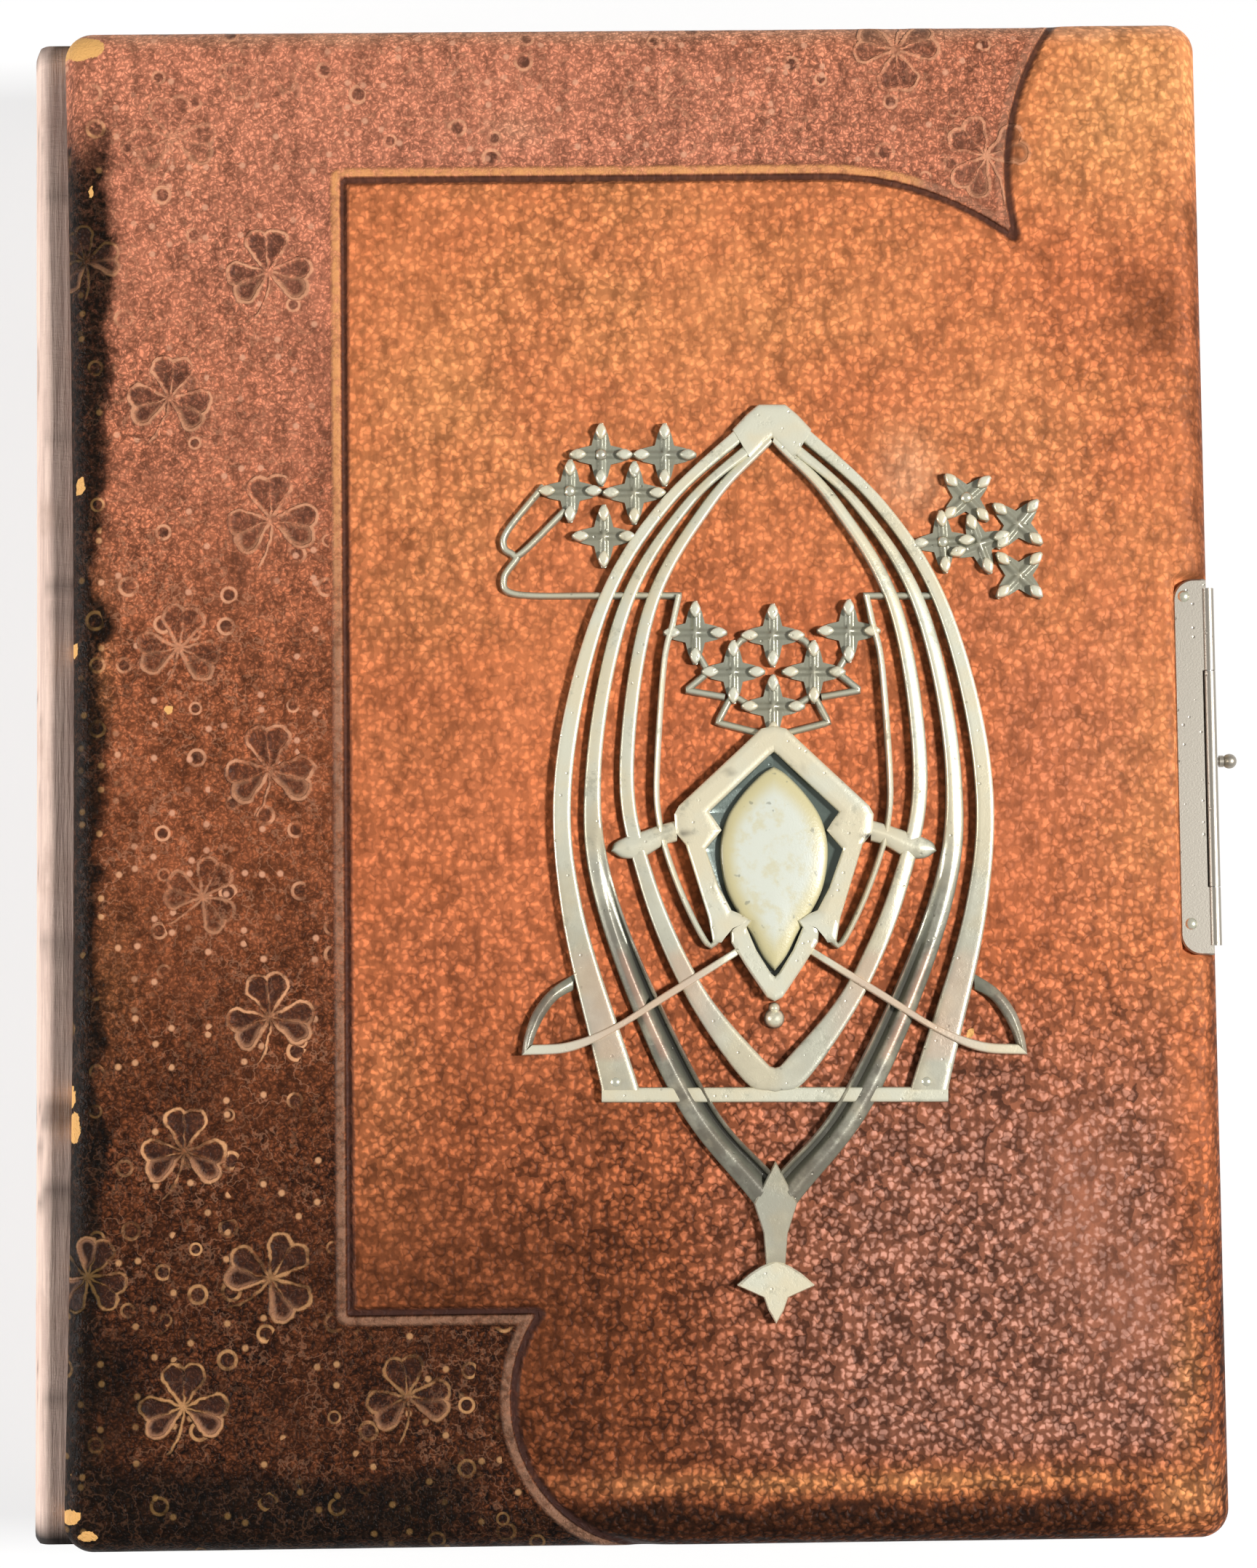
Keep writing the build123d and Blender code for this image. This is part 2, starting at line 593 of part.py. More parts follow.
back_hinge_strip.part.label = "back_hinge_strip"
export_step(back_hinge_strip.part, "parts/back_hinge_strip.step")

# Leaves and spine

with BuildPart() as page_block:
    with BuildSketch(Plane.XY.offset(BLOCK_BOTTOM)) as leaf:
        with Locations((BLOCK_LEFT, 0)):
            Rectangle(BLOCK_RIGHT - BLOCK_LEFT, BLOCK_LENGTH, align=(Align.MIN, Align.CENTER))
        fillet(leaf.vertices().group_by(Axis.X)[-1], LEAF_CORNER)
    extrude(amount=BLOCK_HEIGHT)
    with BuildSketch(Plane.XZ):
        with Locations(SPINE_CENTRE):
            Circle(SPINE_RADIUS - SPINE_CLOTH / 2 - SPINE_BOARD)
        with Locations((BLOCK_LEFT, SPINE_CENTRE[1])):
            Rectangle(
                SPINE_RADIUS, BLOCK_HEIGHT - 2 * STUB_STEP, align=(Align.MAX, Align.CENTER),
                mode=Mode.INTERSECT,
            )
    extrude(amount=BLOCK_LENGTH / 2 - STUB_INSET, both=True)
    seams = [BLOCK_BOTTOM + number * LEAF - LEAF_GROOVE / 2 for number in range(1, LEAF_COUNT)]
    with BuildSketch(*[Plane.XY.offset(seam) for seam in seams]):
        with Locations((BLOCK_RIGHT, 0)):
            Rectangle(
                BLOCK_RIGHT - BLOCK_LEFT, BLOCK_LENGTH + OVERRUN, align=(Align.MAX, Align.CENTER)
            )
        with Locations((BLOCK_RIGHT - LEAF_GROOVE_DEPTH, 0)):
            RectangleRounded(
                BLOCK_RIGHT - BLOCK_LEFT + OVERRUN, BLOCK_LENGTH - 2 * LEAF_GROOVE_DEPTH,
                LEAF_CORNER - LEAF_GROOVE_DEPTH, align=(Align.MAX, Align.CENTER), mode=Mode.SUBTRACT,
            )
    extrude(amount=LEAF_GROOVE, mode=Mode.SUBTRACT)

page_block.part.label = "page_block"
export_step(page_block.part, "parts/page_block.step")

with BuildPart() as spine_board:
    add(spine_ring(SPINE_RADIUS - SPINE_CLOTH / 2, SPINE_RADIUS - SPINE_CLOTH / 2 - SPINE_BOARD,
                   SPINE_BOARD_INSET))

spine_board.part.label = "spine_board"
export_step(spine_board.part, "parts/spine_board.step")

with BuildPart() as spine_cloth:
    add(spine_ring(SPINE_RADIUS + SPINE_CLOTH / 2, SPINE_RADIUS - SPINE_CLOTH / 2, SPINE_END_GAP))

spine_cloth.part.label = "spine_cloth"
export_step(spine_cloth.part, "parts/spine_cloth.step")

# Cast ornament, its right half mirrored, then the pieces that stand on one side only

half_forms = [banded(edges, BAND_HEIGHT, BAND_BEVEL)
              for edges in (OUTER_BAND_SHARES, MIDDLE_BAND_SHARES, INNER_BAND_SHARES)]
half_forms += [
    extruded(CAP_SHARES, BAND_HEIGHT),
    extruded(BASE_BAR_SHARES, BAR_HEIGHT),
    extruded(STEM_SHARES, BAND_HEIGHT),
    extruded(FINIAL_SHARES, FINIAL_HEIGHT),
    extruded(BEZEL_OUTER_SHARES, BEZEL_HEIGHT),
    extruded(ARM_SHARES, BLADE_HEIGHT),
    banded([BLADE_LOWER_SHARES, BLADE_HOOK_SHARES, BLADE_INNER_SHARES, BLADE_UPPER_SHARES], BLADE_HEIGHT),
    wire(Spline(*lancet(INNER_WIRE_SHARES)), BLADE_HEIGHT),
    wire(Polyline(*lancet(CROSS_WIRE_SHARES)), WIRE_HEIGHT),
]
half_forms += [wire(Polyline(*lancet(shares)), WIRE_HEIGHT) for shares in GARLAND_WIRES_SHARES]
hairpin = lancet(HAIRPIN_SHARES)
one_sided = [
    wire(Spline(*lancet(CROSS_LOOP_SHARES)), BAR_HEIGHT),
    wire(Line(*hairpin[:2]) + ThreePointArc(*hairpin[1:4]) + Line(*hairpin[3:]), WIRE_HEIGHT),
]
one_sided += [wire(Polyline(*lancet(shares)), FLORET_PLATE) for shares in CLUSTER_LINKS_SHARES]
flower = floret()

with BuildPart() as ornament_frame:
    add(half_forms)
    add(extruded(BEZEL_INNER_SHARES, BEZEL_HEIGHT, BEZEL_FLOOR), mode=Mode.SUBTRACT)
    mirror(about=Plane(origin=(ORNAMENT_X, 0, FRONT_TOP), z_dir=ornament_plane().x_dir))
    add(one_sided)
    with Locations(*[ornament_plane() * Location((*lancet([(across, up)])[0], 0), (0, 0, turn))
                     for across, up, turn in FLORET_SHARES]):
        add(flower)
    with BuildSketch(ornament_plane()):
        with Locations(*lancet([(0, BEAD_PLACE_SHARE)])):
            Circle(BEAD_RADIUS)
    extrude(amount=BLADE_HEIGHT, taper=BEAD_TAPER)
    add(pin_room, mode=Mode.SUBTRACT)

ornament_frame.part.label = "ornament_frame"
export_step(ornament_frame.part, "parts/ornament_frame.step")

with BuildPart() as cabochon:
    with BuildSketch(ornament_plane(BEZEL_FLOOR)):
        with BuildLine():
            side = Spline(*lancet(CABOCHON_SHARES))
            mirror(side, about=Plane.YZ)
        make_face()
    extrude(amount=CABOCHON_HEIGHT)
    chamfer(cabochon.faces().sort_by(Axis.Z)[-1].edges(), CABOCHON_DOME)

cabochon.part.label = "cabochon"
export_step(cabochon.part, "parts/cabochon.step")

pin_seats = [ornament_plane(BAND_HEIGHT) * Location(place) for place in lancet(BAR_PIN_SHARES)]
pin_seats += [ornament_plane(FLORET_PLATE) * Location(place) for place in lancet(FLORET_PIN_SHARES)]
ornament_pin = nail(PIN_HEAD, PIN_HEAD_RISE, PIN_SHANK, PIN_LENGTH)

with BuildPart() as ornament_pins:
    with Locations(*pin_seats):
        add(ornament_pin)

ornament_pins.part.label = "ornament_pins"
export_step(ornament_pins.part, "parts/ornament_pins.step")

# Clasp on the front cover

with BuildPart() as clasp_plate:
    with BuildSketch(Plane.XY.offset(PLATE_BOTTOM)):
        add(clasp_pocket(0))
        with Locations((BARREL_X, CLASP_Y)):
            Rectangle(2 * PLATE_WIDTH, 2 * CLASP_LENGTH, align=(Align.MIN, Align.CENTER), mode=Mode.SUBTRACT)
    extrude(amount=PLATE)
    chamfer(clasp_plate.faces().sort_by(Axis.Z)[-1].edges().sort_by(Axis.X)[:-1], PLATE_BEVEL)
    with Locations((BARREL_X, CLASP_Y, BARREL_Z)):
        Cylinder(BARREL_RADIUS, BARREL_LENGTH, rotation=(90, 0, 0))
    with Locations((BARREL_X, HASP_Y, BARREL_Z)):
        Box(2 * (BARREL_RADIUS + BARREL_CLEARANCE), HASP_WIDTH + 2 * KNUCKLE_GAP,
            2 * (BARREL_RADIUS + BARREL_CLEARANCE), mode=Mode.SUBTRACT)
    with Locations((BARREL_X, CLASP_Y, BARREL_Z)):
        Cylinder(HINGE_PIN_RADIUS + PIN_FIT, CLASP_LENGTH, rotation=(90, 0, 0), mode=Mode.SUBTRACT)
    add(plate_nail_room, mode=Mode.SUBTRACT)

clasp_plate.part.label = "clasp_plate"
export_step(clasp_plate.part, "parts/clasp_plate.step")

plate_nail = nail(NAIL_HEAD, NAIL_HEAD_RISE, NAIL_SHANK, NAIL_LENGTH)

with BuildPart() as clasp_nails:
    with Locations(*[(x, y, PLATE_BOTTOM + PLATE) for x, y in PLATE_NAILS]):
        add(plate_nail)

clasp_nails.part.label = "clasp_nails"
export_step(clasp_nails.part, "parts/clasp_nails.step")

with BuildPart() as clasp_hinge_pin:
    with Locations((BARREL_X, CLASP_Y, BARREL_Z)):
        Cylinder(HINGE_PIN_RADIUS, BARREL_LENGTH, rotation=(90, 0, 0))

clasp_hinge_pin.part.label = "clasp_hinge_pin"
export_step(clasp_hinge_pin.part, "parts/clasp_hinge_pin.step")

# Hasp with its sliding latch

with BuildPart() as clasp_hasp:
    with BuildSketch(Plane.YZ.offset(LEAF_INNER)) as leaf_shape:
        shoulder = BARREL_Z - HASP_SHOULDER
        head_side, foot_side = [
            [(HASP_Y + side * HASP_WIDTH / 2, BARREL_Z), (HASP_Y + side * HASP_WIDTH / 2, shoulder),
             (LATCH_Y + side * HASP_FOOT_WIDTH / 2, shoulder - HASP_TAPER),
             (LATCH_Y + side * HASP_FOOT_WIDTH / 2, HASP_FOOT)]
            for side in (1, -1)
        ]
        Polygon(*head_side, *foot_side[::-1], align=None)
        fillet(leaf_shape.vertices().group_by(Axis.Y)[:-1], HASP_ROUND)
    extrude(amount=HASP_LEAF)
    with Locations((BARREL_X, HASP_Y, BARREL_Z)):
        Cylinder(BARREL_RADIUS, HASP_WIDTH, rotation=(90, 0, 0))
    with Locations((BARREL_X, HASP_Y, BARREL_Z)):
        Cylinder(HINGE_PIN_RADIUS + PIN_FIT, HASP_WIDTH, rotation=(90, 0, 0), mode=Mode.SUBTRACT)
    with BuildSketch(Plane.YZ.offset(LEAF_INNER)):
        with Locations((LATCH_Y, KNOB_Z + LATCH_TRAVEL / 2)):
            SlotCenterToCenter(LATCH_TRAVEL, 2 * (KNOB_STEM + SLIDE_GAP), rotation=90)
    extrude(amount=HASP_LEAF, mode=Mode.SUBTRACT)

clasp_hasp.part.label = "clasp_hasp"
export_step(clasp_hasp.part, "parts/clasp_hasp.step")

with BuildPart() as latch_case:
    with Locations((LEAF_INNER, LATCH_Y, CASE_BOTTOM)):
        Box(SLIDE_THICKNESS + 2 * SLIDE_GAP + CASE_WALL, SLIDE_WIDTH + 2 * (SLIDE_GAP + CASE_WALL),
            CASE_HEIGHT, align=(Align.MAX, Align.CENTER, Align.MIN))
    fillet(latch_case.edges().filter_by(Axis.Y).sort_by(Axis.X)[:2], CASE_WALL)
    with Locations((LEAF_INNER, LATCH_Y, CASE_BOTTOM)):
        Box(SLIDE_THICKNESS + 2 * SLIDE_GAP, SLIDE_WIDTH + 2 * SLIDE_GAP, CASE_HEIGHT - CASE_WALL,
            align=(Align.MAX, Align.CENTER, Align.MIN), mode=Mode.SUBTRACT)

latch_case.part.label = "latch_case"
export_step(latch_case.part, "parts/latch_case.step")

with BuildPart() as latch_slide:
    with Locations((SLIDE_INNER, LATCH_Y, SLIDE_BOTTOM)):
        Box(SLIDE_THICKNESS, SLIDE_WIDTH, SLIDE_HEIGHT, align=(Align.MIN, Align.CENTER, Align.MIN))
        Box(TONGUE, SLIDE_WIDTH, TONGUE_LENGTH, align=(Align.MIN, Align.CENTER, Align.MAX))
    fillet(latch_slide.edges().filter_by(Axis.X).group_by(Axis.Z)[0], TONGUE_ROUND)
    with Locations(Location((SLIDE_OUTER, LATCH_Y, KNOB_Z), (0, 90, 0))):
        Cylinder(KNOB_TENON, 2 * KNOB_TENON_LENGTH, mode=Mode.SUBTRACT)

latch_slide.part.label = "latch_slide"
export_step(latch_slide.part, "parts/latch_slide.step")

with BuildPart() as latch_knob:
    tip = LEAF_OUTER + KNOB_REACH
    collar = tip - KNOB_BALL - sqrt(KNOB_BALL**2 - KNOB_STEM**2)
    with BuildSketch(Plane.XZ.offset(-LATCH_Y)):
        with BuildLine():
            Polyline(
                (tip, KNOB_Z), (SLIDE_OUTER - KNOB_TENON_LENGTH, KNOB_Z),
                (SLIDE_OUTER - KNOB_TENON_LENGTH, KNOB_Z + KNOB_TENON), (SLIDE_OUTER, KNOB_Z + KNOB_TENON),
                (SLIDE_OUTER, KNOB_Z + KNOB_STEM), (collar - KNOB_COLLAR_LENGTH, KNOB_Z + KNOB_STEM),
                (collar - KNOB_COLLAR_LENGTH, KNOB_Z + KNOB_COLLAR), (collar, KNOB_Z + KNOB_COLLAR),
                (collar, KNOB_Z + KNOB_STEM),
            )
            ThreePointArc((collar, KNOB_Z + KNOB_STEM), (tip - KNOB_BALL, KNOB_Z + KNOB_BALL), (tip, KNOB_Z))
        make_face()
    revolve(axis=Axis((tip, LATCH_Y, KNOB_Z), (1, 0, 0)))

latch_knob.part.label = "latch_knob"
export_step(latch_knob.part, "parts/latch_knob.step")

with BuildPart() as latch_spring:
    low, high = SLIDE_TOP + SPRING_STRIP / 2, CASE_TOP - CASE_WALL - SPRING_STRIP / 2
    left, right = LATCH_Y - SPRING_REACH, LATCH_Y + SPRING_REACH
    bends = [(left, low)]
    bends += [((right, left)[run % 2], low + (high - low) * run / SPRING_RUNS)
              for run in range(SPRING_RUNS + 1)]
    bends += [((left, right)[SPRING_RUNS % 2], high)]
    with BuildSketch(Plane.YZ.offset(SLIDE_OUTER - SLIDE_THICKNESS / 2)):
        with BuildLine():
            FilletPolyline(*bends, radius=SPRING_BEND)
        trace(line_width=SPRING_STRIP)
    extrude(amount=SPRING_WIDTH / 2, both=True)

latch_spring.part.label = "latch_spring"
export_step(latch_spring.part, "parts/latch_spring.step")

# Catch on the back cover

with BuildPart() as catch_plate:
    with BuildSketch(Plane.XY.offset(BACK_SKIN)):
        with Locations((CATCH_OUTER, LATCH_Y)):
            Rectangle(CATCH_WIDTH, CATCH_LENGTH, align=(Align.MAX, Align.CENTER))
    extrude(amount=CATCH_PLATE)
    with BuildSketch(Plane.YZ.offset(CATCH_OUTER)) as upright:
        with Locations((LATCH_Y, BACK_SKIN)):
            Rectangle(CATCH_UPRIGHT_WIDTH, CATCH_TOP - BACK_SKIN, align=(Align.CENTER, Align.MIN))
        fillet(upright.vertices().group_by(Axis.Y)[-1], CATCH_ROUND)
    extrude(amount=-CATCH_WALL)
    add(catch_nail_room, mode=Mode.SUBTRACT)

catch_plate.part.label = "catch_plate"
export_step(catch_plate.part, "parts/catch_plate.step")

catch_nail = nail(CATCH_NAIL_HEAD, NAIL_HEAD_RISE, NAIL_SHANK, CATCH_NAIL_LENGTH)

with BuildPart() as catch_nails:
    with Locations(*[(x, y, BACK_SKIN + CATCH_PLATE) for x, y in CATCH_NAILS]):
        add(catch_nail)

catch_nails.part.label = "catch_nails"
export_step(catch_nails.part, "parts/catch_nails.step")
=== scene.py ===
"""Antique photo album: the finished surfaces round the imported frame, and the photograph's scene."""
from functools import wraps
from math import radians

import bmesh
import bpy
import numpy as np
from mathutils import Matrix, Vector


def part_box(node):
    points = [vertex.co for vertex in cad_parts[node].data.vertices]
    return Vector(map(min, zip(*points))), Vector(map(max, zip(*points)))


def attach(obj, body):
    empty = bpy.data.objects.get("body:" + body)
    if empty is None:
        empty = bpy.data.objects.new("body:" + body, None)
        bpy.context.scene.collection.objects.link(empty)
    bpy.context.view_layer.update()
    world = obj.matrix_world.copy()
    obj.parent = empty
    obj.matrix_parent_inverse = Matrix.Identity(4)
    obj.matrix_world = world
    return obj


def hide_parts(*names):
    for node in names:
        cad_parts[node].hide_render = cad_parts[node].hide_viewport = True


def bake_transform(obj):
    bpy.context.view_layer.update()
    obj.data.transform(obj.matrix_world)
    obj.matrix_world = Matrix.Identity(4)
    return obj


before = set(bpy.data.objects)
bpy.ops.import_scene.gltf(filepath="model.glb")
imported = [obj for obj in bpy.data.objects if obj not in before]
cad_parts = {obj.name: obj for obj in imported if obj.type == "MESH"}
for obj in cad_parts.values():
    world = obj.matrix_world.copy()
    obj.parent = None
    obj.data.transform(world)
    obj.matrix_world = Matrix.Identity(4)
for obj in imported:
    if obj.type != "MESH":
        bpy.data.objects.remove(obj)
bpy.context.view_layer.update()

bl_info = {
    "name": "Antique Photo Album",
    "version": (1, 0, 0),
    "blender": (4, 5, 0),
    "location": "3D View > Sidebar > Album",
    "description": "Builds the album's leather, casting, leaves and cloth round the packed frame",
    "category": "Object",
}

MM = 0.001


def box_mm(node):
    """A CAD node's lowest and highest corners in millimetres."""
    return [np.array(corner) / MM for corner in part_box(node)]


COVER_LOW, COVER_HIGH = box_mm("front_leather")
BLOCK_LOW, BLOCK_HIGH = box_mm("page_block")
SPINE_LOW, SPINE_HIGH = box_mm("spine_cloth")
HALF_WIDTH, HALF_HEIGHT = COVER_HIGH[0], COVER_HIGH[1]
COVER_TOP = COVER_HIGH[2]
COVER_UNDER = COVER_LOW[2]

# Places on the cover, in shares of its width and height as the part's source gives them
HEAD_CURVE = [(0.372, 0.5), (0.33, 0.417), (0.335, 0.355)]
SHOULDER = [(0.335, 0.355), (0.265, 0.384), (0.168, 0.397)]
PANEL_RUN = [(0.168, 0.397), (-0.255, 0.397), (-0.255, -0.349), (-0.092, -0.349)]
TAIL_CURVE = [(-0.092, -0.349), (-0.113, -0.425), (-0.01, -0.5)]

# Clovers pressed in the border: place, turn in degrees, size and how plainly each shows
CLOVERS = [
    (-68.6, 95.5, 4, 1.0, 1.0), (-88.0, 71.5, -6, 1.0, 0.95), (-68.2, 48.5, 5, 1.05, 0.9),
    (-86.5, 24.4, -8, 1.0, 0.6), (-68.9, 1.4, 3, 1.05, 0.9), (-82.2, -21.9, -30, 0.9, 0.45),
    (-69.0, -44.4, 6, 1.0, 1.0), (-85.5, -69.1, -2, 1.0, 1.0), (-69.1, -92.5, -35, 1.05, 0.8),
    (-85.2, -115.8, 2, 1.0, 1.0), (-43.8, -114.4, 10, 0.95, 0.6), (-103.3, -91.9, -120, 0.9, 0.8),
    (-86.8, 121.3, 5, 1.0, 0.4), (-69.8, 134.2, 8, 0.9, 0.3), (50.5, 137.2, 182, 1.0, 0.8),
    (67.3, 116.4, 40, 1.0, 0.75), (-103.8, 98.0, 20, 0.8, 0.5),
    (6.0, 128.0, 200, 0.9, 0.3), (-36.0, 131.0, 170, 0.9, 0.25),
]
CLOVER_REACH = 10.3
# A lobe's middle and radius in millimetres, its share of the way per millimetre, and the side lobes' turn
LOBE_ALONG, LOBE_ASIDE, LOBE_RADIUS = 5.6, 1.7, 2.2
SHARE_ALONG, SHARE_ASIDE = 0.1635, 0.0496
SIDE_COS, SIDE_SIN = 0.956, 0.292

# The cover's rolled edge and rounded corners, the spine's arc and the leaves
EDGE_ROLL = 5.0
COVER_CORNER = 5.5
SPINE_CENTRE = -49.54
SPINE_RADIUS = 65.96
SPINE_HALF = 21.2
BLOCK_BACK_RADIUS = 64.36
LEAF_COUNT = 14
LEAF_CORNER = 3.0


def smooth(low, high, value):
    """Smoothstep: 0 below low, 1 above high, and a soft S between them."""
    share = np.clip((value - low) / (high - low), 0, 1)
    return share * share * (3 - 2 * share)


def value_noise(x, y, cell, seed):
    """Random heights on a square lattice, blended between its corners by a smoothstep; 0 to 1."""
    lattice = np.random.default_rng(seed).random((97, 89))
    u, v = x / cell + 41.3, y / cell + 37.9
    i, j = np.floor(u).astype(int), np.floor(v).astype(int)
    a, b = smooth(0, 1, u - i), smooth(0, 1, v - j)

    def corner(right, up):
        return lattice[(i + right) % 97, (j + up) % 89]

    low = corner(0, 0) * (1 - a) + corner(1, 0) * a
    high = corner(0, 1) * (1 - a) + corner(1, 1) * a
    return low * (1 - b) + high * b


def cloudy(x, y, cell, seed):
    """Value noise summed over four halving cells, each at 0.55 of the last one's strength."""
    strengths = 0.55 ** np.arange(4)
    layers = [value_noise(x, y, cell / 2**step, seed + step) * strength
              for step, strength in enumerate(strengths)]
    return sum(layers) / strengths.sum()


def through(points, count):
    """A smooth line through the points (Catmull-Rom), read at even lengths along it."""
    points = np.asarray(points, float)
    ends = np.vstack([2 * points[0] - points[1], points, 2 * points[-1] - points[-2]])
    spans = len(points) - 1
    along = np.linspace(0, spans, 40 * spans + 1)
    k = np.minimum(along.astype(int), spans - 1)
    f = (along - k)[:, None]
    a, b, c, d = (ends[k + step] for step in range(4))
    fine = 0.5 * (2 * b + (c - a) * f + (2 * a - 5 * b + 4 * c - d) * f**2
                  + (3 * b - a - 3 * c + d) * f**3)
    return evenly(fine, count)


def evenly(line, count):
    """A line of points read again at even lengths."""
    line = np.asarray(line, float)
    length = np.r_[0, np.cumsum(np.linalg.norm(np.diff(line, axis=0), axis=1))]
    stations = np.linspace(0, length[-1], count)
    return np.stack([np.interp(stations, length, line[:, axis]) for axis in range(line.shape[1])], 1)


def arc_through(points, count=24):
    """The circular arc through three points."""
    a, b, c = (np.array(p, float) for p in points)
    across = 2 * np.array([b - a, c - a])
    centre = np.linalg.solve(across, [b @ b - a @ a, c @ c - a @ a])
    angles = np.unwrap([np.arctan2(*(p - centre)[::-1]) for p in (a, b, c)])
    turn = np.linspace(angles[0], angles[2], count)
    return centre + np.linalg.norm(a - centre) * np.stack([np.cos(turn), np.sin(turn)], 1)


def grid_faces(rows, columns, wrap_rows=False, wrap_columns=False):
    """Quads that join a grid of points, numbered row by row, closed round where asked."""
    i = np.arange(rows if wrap_rows else rows - 1)[:, None]
    j = np.arange(columns if wrap_columns else columns - 1)[None, :]
    up, right = (i + 1) % rows, (j + 1) % columns
    corners = [i * columns + j, i * columns + right, up * columns + right, up * columns + j]
    return np.stack([np.broadcast_to(c, (i.size, j.size)) for c in corners], -1).reshape(-1, 4)


def loft(rings, cap=True):
    """Closed rings of points carried along a path, joined in turn, with the end rings filled."""
    rings = np.asarray(rings, float)
    stations, count = rings.shape[:2]
    faces = grid_faces(stations, count, wrap_columns=True).tolist()
    if cap:
        faces += [list(range(count))[::-1], list(range((stations - 1) * count, stations * count))]
    return rings.reshape(-1, 3), faces


def joined(shapes):
    """Several shapes as one, with the later ones' faces numbered on."""
    points, faces, start = [], [], 0
    for shape_points, shape_faces in shapes:
        points.append(shape_points)
        faces += [[corner + start for corner in face] for face in shape_faces]
        start += len(shape_points)
    return np.vstack(points), faces


def mirrored(shape):
    """A shape's other half, across its own middle line."""
    points, faces = shape
    return points * (-1, 1, 1), [face[::-1] for face in faces]


def build_piece(name, shape, material, body, angle=40, attributes=None, merge=0.0):
    """A finished piece: the shape's points in millimetres put in a mesh with its faces outward."""
    points, faces = shape
    mesh = bpy.data.meshes.new(name)
    mesh.from_pydata(points * MM, [], faces)
    for key, values in (attributes or {}).items():
        kind, field = ("FLOAT", "value") if values.ndim == 1 else ("FLOAT_VECTOR", "vector")
        mesh.attributes.new(key, kind, "POINT").data.foreach_set(field, values.astype(np.float32).ravel())
    form = bmesh.new()
    form.from_mesh(mesh)
    if merge:
        bmesh.ops.remove_doubles(form, verts=form.verts, dist=merge * MM)
    bmesh.ops.recalc_face_normals(form, faces=form.faces)
    form.to_mesh(mesh)
    form.free()
    mesh.polygons.foreach_set("use_smooth", np.ones(len(mesh.polygons), bool))
    if angle:
        mesh.set_sharp_from_angle(angle=radians(angle))
    mesh.materials.append(material)
    piece = bpy.data.objects.new(name, mesh)
    bpy.context.scene.collection.objects.link(piece)
    if body:
        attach(piece, body)
    return piece


# Shader nodes


class Value:
    """A shader value: Python's operators join values and numbers through Math nodes."""

    def __init__(self, socket):
        self.socket = socket

    def __add__(self, other):
        return maths("ADD", self, other)

    def __radd__(self, other):
        return maths("ADD", other, self)

    def __sub__(self, other):
        return maths("SUBTRACT", self, other)

    def __rsub__(self, other):
        return maths("SUBTRACT", other, self)

    def __mul__(self, other):
        return maths("MULTIPLY", self, other)

    def __rmul__(self, other):
        return maths("MULTIPLY", other, self)

    def __truediv__(self, other):
        return maths("DIVIDE", self, other)

    def __rtruediv__(self, other):
        return maths("DIVIDE", other, self)

    def __abs__(self):
        return maths("ABSOLUTE", self)


def feed(socket, value):
    """Sets a number on an input, or links a value to it."""
    value = getattr(value, "socket", value)
    if isinstance(value, bpy.types.NodeSocket):
        socket.id_data.links.new(value, socket)
    else:
        socket.default_value = value


def put(tree, kind, inputs=None, **settings):
    """A node in a tree, its settings made and its inputs fed."""
    node = tree.nodes.new(kind)
    for key, value in settings.items():
        setattr(node, key, value)
    for key, value in (inputs or {}).items():
        feed(node.inputs[key], value)
    return node


def read(tree, kind, inputs=None, output=0, **settings):
    """The value that a new node puts out."""
    return Value(put(tree, kind, inputs, **settings).outputs[output])


def tree_of(*values):
    """The tree that the first value among these belongs to."""
    return next(value.socket.id_data for value in values if isinstance(value, Value))


def maths(operation, *values, clamp=False):
    """A Math node's result for values and numbers."""
    return read(tree_of(*values), "ShaderNodeMath", dict(enumerate(values)), operation=operation,
                use_clamp=clamp)


def most(first, second):
    """The larger of two values."""
    return maths("MAXIMUM", first, second)


def vector(operation, first, second):
    """A vector operation on two places, or a place scaled by a number."""
    second_input = "Scale" if operation == "SCALE" else 1
    return read(tree_of(first, second), "ShaderNodeVectorMath", {0: first, second_input: second},
                operation=operation)


def softly(value, low, high, start=0.0, end=1.0):
    """A value's smooth step from start at low to end at high."""
    return read(tree_of(value), "ShaderNodeMapRange", {0: value, 1: low, 2: high, 3: start, 4: end},
                interpolation_type="SMOOTHSTEP")


def mixed(share, first, second, blend="MIX"):
    """Two colours mixed by a share, each a value or three numbers."""
    inputs = {0: share}
    for index, colour in ((6, first), (7, second)):
        inputs[index] = colour if isinstance(colour, Value) else (*colour, 1.0)
    return read(tree_of(share, first), "ShaderNodeMix", inputs, 2, data_type="RGBA", blend_type=blend,
                clamp_factor=True)


def attribute(tree, name, output="Fac"):
    """A mesh attribute's value."""
    return read(tree, "ShaderNodeAttribute", output=output, attribute_name=name)


def clouds(place, scale, detail=4.0, roughness=0.6, stretch=None, output=0):
    """Noise from 0 to 1 on a place, with features of 1/scale metres."""
    if stretch:
        place = vector("MULTIPLY", place, stretch)
    return read(tree_of(place), "ShaderNodeTexNoise",
                {"Vector": place, "Scale": scale, "Detail": detail, "Roughness": roughness}, output)


def cells(place, scale, randomness, flat=True, feature="F1", smoothness=None):
    """Voronoi cells: the distance to the nearest cell's middle, and a random colour for each cell."""
    inputs = {"Vector": place, "Scale": scale, "Randomness": randomness}
    if smoothness is not None:
        inputs["Smoothness"] = smoothness
    node = put(tree_of(place), "ShaderNodeTexVoronoi", inputs, feature=feature,
               voronoi_dimensions="2D" if flat else "3D")
    return Value(node.outputs["Distance"]), Value(node.outputs["Color"])


